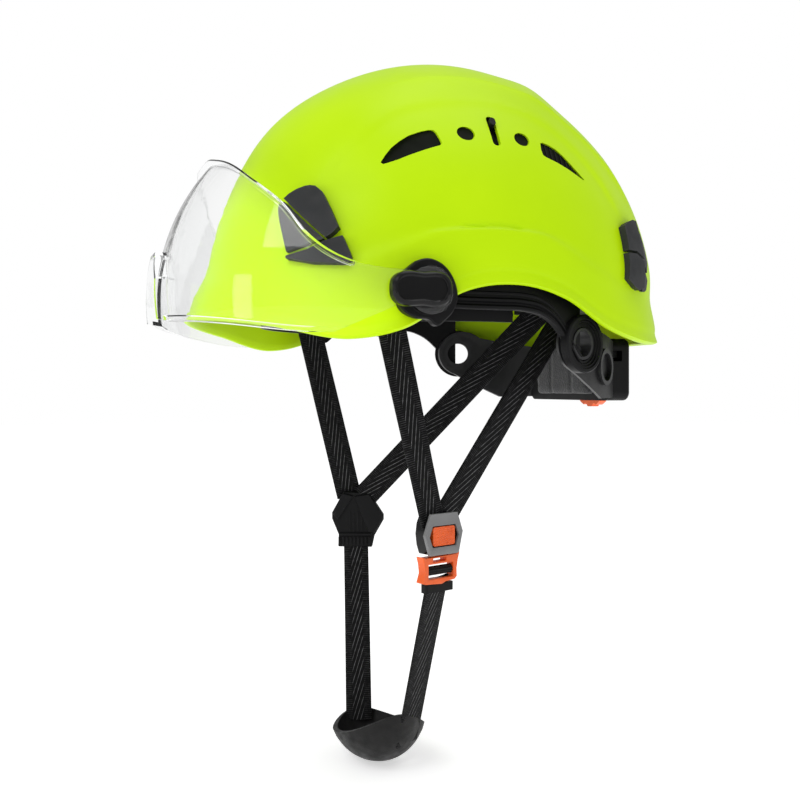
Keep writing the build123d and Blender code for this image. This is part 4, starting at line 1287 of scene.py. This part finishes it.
def build_cup():
    """Soft chin cup: a boat-shaped bowl with rolled rim, raised ends and slots."""
    around, rows = 96, 22
    outer, inner = [], []
    for k in range(rows + 1):
        r = k / rows
        for i in range(around):
            turn = 2 * pi * i / around
            c, s = cos(turn), sin(turn)
            ends = abs(c) ** 3
            x = 42.0 * r * c * (1 + 0.015 * ends)
            y = 25.0 * r * s * (1 - 0.16 * ends * r)
            sink = -25.4 * (1 - r**2.3) ** 0.75
            lift = r**3 * (2.5 * ends - 6.5 * abs(s) ** 2)
            z = sink + lift
            roll = 0.8 * hump(r, 0.985, 0.03)
            outer.append((x + roll * c, y + roll * s, z))
            inner.append((x * 0.945, y * 0.91, z + 2.0 * (1 - 0.65 * r)))
    verts = outer + inner
    shift = len(outer)
    faces = []
    for k in range(1, rows):
        for i in range(around):
            m = (i + 1) % around
            quad = [k * around + i, k * around + m, (k + 1) * around + m, (k + 1) * around + i]
            faces += [quad, [shift + corner for corner in quad[::-1]]]
    faces.append([around + i for i in range(around)])
    faces.append([shift + around + i for i in range(around)][::-1])
    rim = rows * around
    for i in range(around):
        m = (i + 1) % around
        faces.append([rim + i, rim + m, shift + rim + m, shift + rim + i])
    tilt = radians(CUP_TILT)
    turned = []
    for x, y, z in verts:
        across, down = x * cos(tilt) + z * sin(tilt), z * cos(tilt) - x * sin(tilt)
        turned.append((CHIN.x + across, CHIN.y + y, CHIN.z + down))
    cup = make("chin_cup_moulded", turned, faces, RUBBER, sharp=40.0)

    def drop_loose(work):
        bmesh.ops.delete(work, geom=[v for v in work.verts if not v.link_faces], context="VERTS")

    rework(cup.data, drop_loose)
    slots = []
    for x, lean in ((-19, 0.5), (-3, 0.9), (14, -0.5)):
        outline = [(8.6 * cos(2 * pi * i / 20), 2.1 * sin(2 * pi * i / 20)) for i in range(20)]
        spot = (CHIN.x + x, CHIN.y + 9, CHIN.z - 18)
        slots.append(prism("cup_slot", outline, spot, (lean, 1, 0), (-1, lean, 0), -16, 16, RUBBER))
    cut(cup, joined("cup_cutters", *slots))
    cup.data.shade_smooth()
    cup.data.set_sharp_from_angle(angle=radians(45))
    return bevel(cup, 0.5, 2, 50)


place(build_cup(), "helmet", "cup_rubber", "chin_cup")


# ---------------------------------------------------------------- soft pads
CLOTH_FRAMES = 20
CLOTH_STIFFNESS = 12.0
CLOTH_PRESSURE = 4.0
WELD = 1e-5


def inflate(obj, cap):
    """Let cloth swell a closed pad a little, then keep the result as plain mesh."""
    start = positions(obj.data)
    mod = obj.modifiers.new("swell", "CLOTH")
    mod.settings.quality = 5
    mod.settings.mass = 0.25
    mod.settings.use_pressure = True
    mod.settings.uniform_pressure_force = CLOTH_PRESSURE
    mod.settings.effector_weights.gravity = 0.0
    mod.settings.tension_stiffness = CLOTH_STIFFNESS
    mod.settings.compression_stiffness = CLOTH_STIFFNESS
    mod.point_cache.frame_start = 1
    mod.point_cache.frame_end = CLOTH_FRAMES
    for number in range(1, CLOTH_FRAMES + 1):
        bpy.context.scene.frame_set(number)
    apply_modifiers(obj)
    bpy.context.scene.frame_set(1)
    move = positions(obj.data) - start
    length = np.linalg.norm(move, axis=1, keepdims=True) + 1e-12
    reposition(obj.data, start + move / length * np.minimum(length, cap * MM))


def press_in(mesh, depth):
    """Move the surface of a pad inwards by a depth in millimetres."""
    normal = np.array([v.normal[:] for v in mesh.vertices])
    reposition(mesh, positions(mesh) - normal * depth * MM)


def soft_pad(name, node, body, voxel, shrink, cap, seams):
    """A sewn pad grown from a slightly smaller copy of its CAD solid."""
    mesh = NODES[node].data.copy()
    mesh.name = name
    pad = linked(name, mesh)
    rework(mesh, lambda work: bmesh.ops.remove_doubles(work, verts=work.verts, dist=WELD))
    remesh = pad.modifiers.new("remesh", "REMESH")
    remesh.mode = "VOXEL"
    remesh.voxel_size = voxel * MM
    apply_modifiers(pad)
    pad.data.update()
    press_in(pad.data, shrink)
    inflate(pad, cap)
    sewn = pad.data
    press_in(sewn, seams(positions(sewn) / MM)[:, None])
    sewn.materials.clear()
    sewn.materials.append(CLOTH)
    sewn.shade_smooth()
    smooth = pad.modifiers.new("smooth", "SUBSURF")
    smooth.levels = smooth.render_levels = 1
    place(pad, body, "padding", node)
    return pad


def brow_seams(p):
    """Upright sewn channels every 24 mm round the brow pad."""
    turn = np.degrees(np.arctan2(p[:, 0], -(p[:, 1] - BAND_Y)))
    away = (turn + 7.0) % 14.0 - 7.0
    return 0.9 * hump(away, 0.0, 1.1)


def crown_seams(p):
    """Crossing sewn channels on the crown pad."""
    lines = np.minimum(np.abs((p[:, 0] + 9) % 18 - 9), np.abs((p[:, 1] - DOME_Y + 9) % 18 - 9))
    return 1.0 * hump(lines, 0.0, 1.3)


def nape_seams(p):
    """Two upright channels on the nape pad."""
    lines = np.abs(np.abs(p[:, 0]) - 13)
    return 0.8 * hump(lines, 0.0, 1.3)


soft_pad("brow_pad_sewn", "brow_pad", "helmet", 2.2, 0.5, 1.2, brow_seams)
soft_pad("crown_pad_sewn", "crown_pad", "helmet", 2.6, 0.7, 2.0, crown_seams)
soft_pad("nape_pad_sewn", "nape_pad", "nape", 2.0, 0.5, 1.2, nape_seams)


# ---------------------------------------------------------------- stage, light and camera
FLOOR_Z = cad_low.z - 0.0005
FLOOR_RADIUS = 6.0
FLOOR_GLOW = 0.52
AMBIENT = 0.56
BACKDROP = 1.0
CAMERA_DISTANCE = 0.620
CAMERA_LENS = 46.3
CAMERA_SHIFT = (-0.02625, -0.015)


def stage_floor():
    """A wide pale floor."""
    mesh = bpy.data.meshes.new("floor")
    rim = [(y, z, FLOOR_Z) for y, z in oval(0, 0, FLOOR_RADIUS, FLOOR_RADIUS, 96)]
    mesh.from_pydata(rim, [], [list(range(96))])
    floor = linked("floor", mesh)
    f = Finish("floor_pale", 0.8, specular=0.1)
    f.colours(f.noise(2.0, 2.0), (0.3, (0.90, 0.90, 0.90)), (0.7, (0.93, 0.93, 0.93)))
    f.shader.inputs["Emission Color"].default_value = (1.0, 1.0, 1.0, 1.0)
    f.shader.inputs["Emission Strength"].default_value = FLOOR_GLOW
    mesh.materials.append(f.material)


def area_light(name, spot, target, size, power):
    """A soft rectangular studio light."""
    data = bpy.data.lights.new(name, "AREA")
    data.shape = "RECTANGLE"
    data.size, data.size_y = size
    data.energy = power
    lamp = linked(name, data)
    lamp.location = spot
    lamp.rotation_euler = (Vector(target) - Vector(spot)).to_track_quat("-Z", "Y").to_euler()


def studio_world(tree):
    """White backdrop for what is seen directly or through the visor, softer light elsewhere."""
    sky = tree.nodes["Background"]
    sky.inputs["Color"].default_value = (1.0, 1.0, 1.0, 1.0)
    path = tree.nodes.new("ShaderNodeLightPath")
    seen = tree.nodes.new("ShaderNodeMath")
    seen.operation = "MAXIMUM"
    tree.links.new(path.outputs["Is Camera Ray"], seen.inputs[0])
    tree.links.new(path.outputs["Is Transmission Ray"], seen.inputs[1])
    level = tree.nodes.new("ShaderNodeMapRange")
    level.inputs["To Min"].default_value = AMBIENT
    level.inputs["To Max"].default_value = BACKDROP
    tree.links.new(seen.outputs["Value"], level.inputs["Value"])
    tree.links.new(level.outputs["Result"], sky.inputs["Strength"])


stage_floor()
world = bpy.data.worlds.new("studio")
bpy.context.scene.world = world
world.use_nodes = True
studio_world(world.node_tree)
area_light("key", (1.0, -1.3, 1.3), (0, 0, 0.05), (1.0, 1.0), 10.5)
area_light("top", (0.2, 0.3, 1.8), (0, 0, 0.1), (1.2, 1.2), 8.5)
area_light("front", (0.35, -1.5, 0.1), (0.05, -0.1, 0.05), (0.35, 0.5), 1.6)

camera_data = bpy.data.cameras.new("photo_view")
camera = linked("photo_view", camera_data)
camera.location = CAMERA_SIDE * CAMERA_DISTANCE
camera.rotation_euler = (-CAMERA_SIDE).to_track_quat("-Z", "Y").to_euler()
camera_data.sensor_width = 36.0
camera_data.lens = CAMERA_LENS
camera_data.shift_x, camera_data.shift_y = CAMERA_SHIFT
camera_data.clip_start = 0.01
bpy.context.scene.camera = camera
bpy.context.scene.view_settings.view_transform = "Standard"
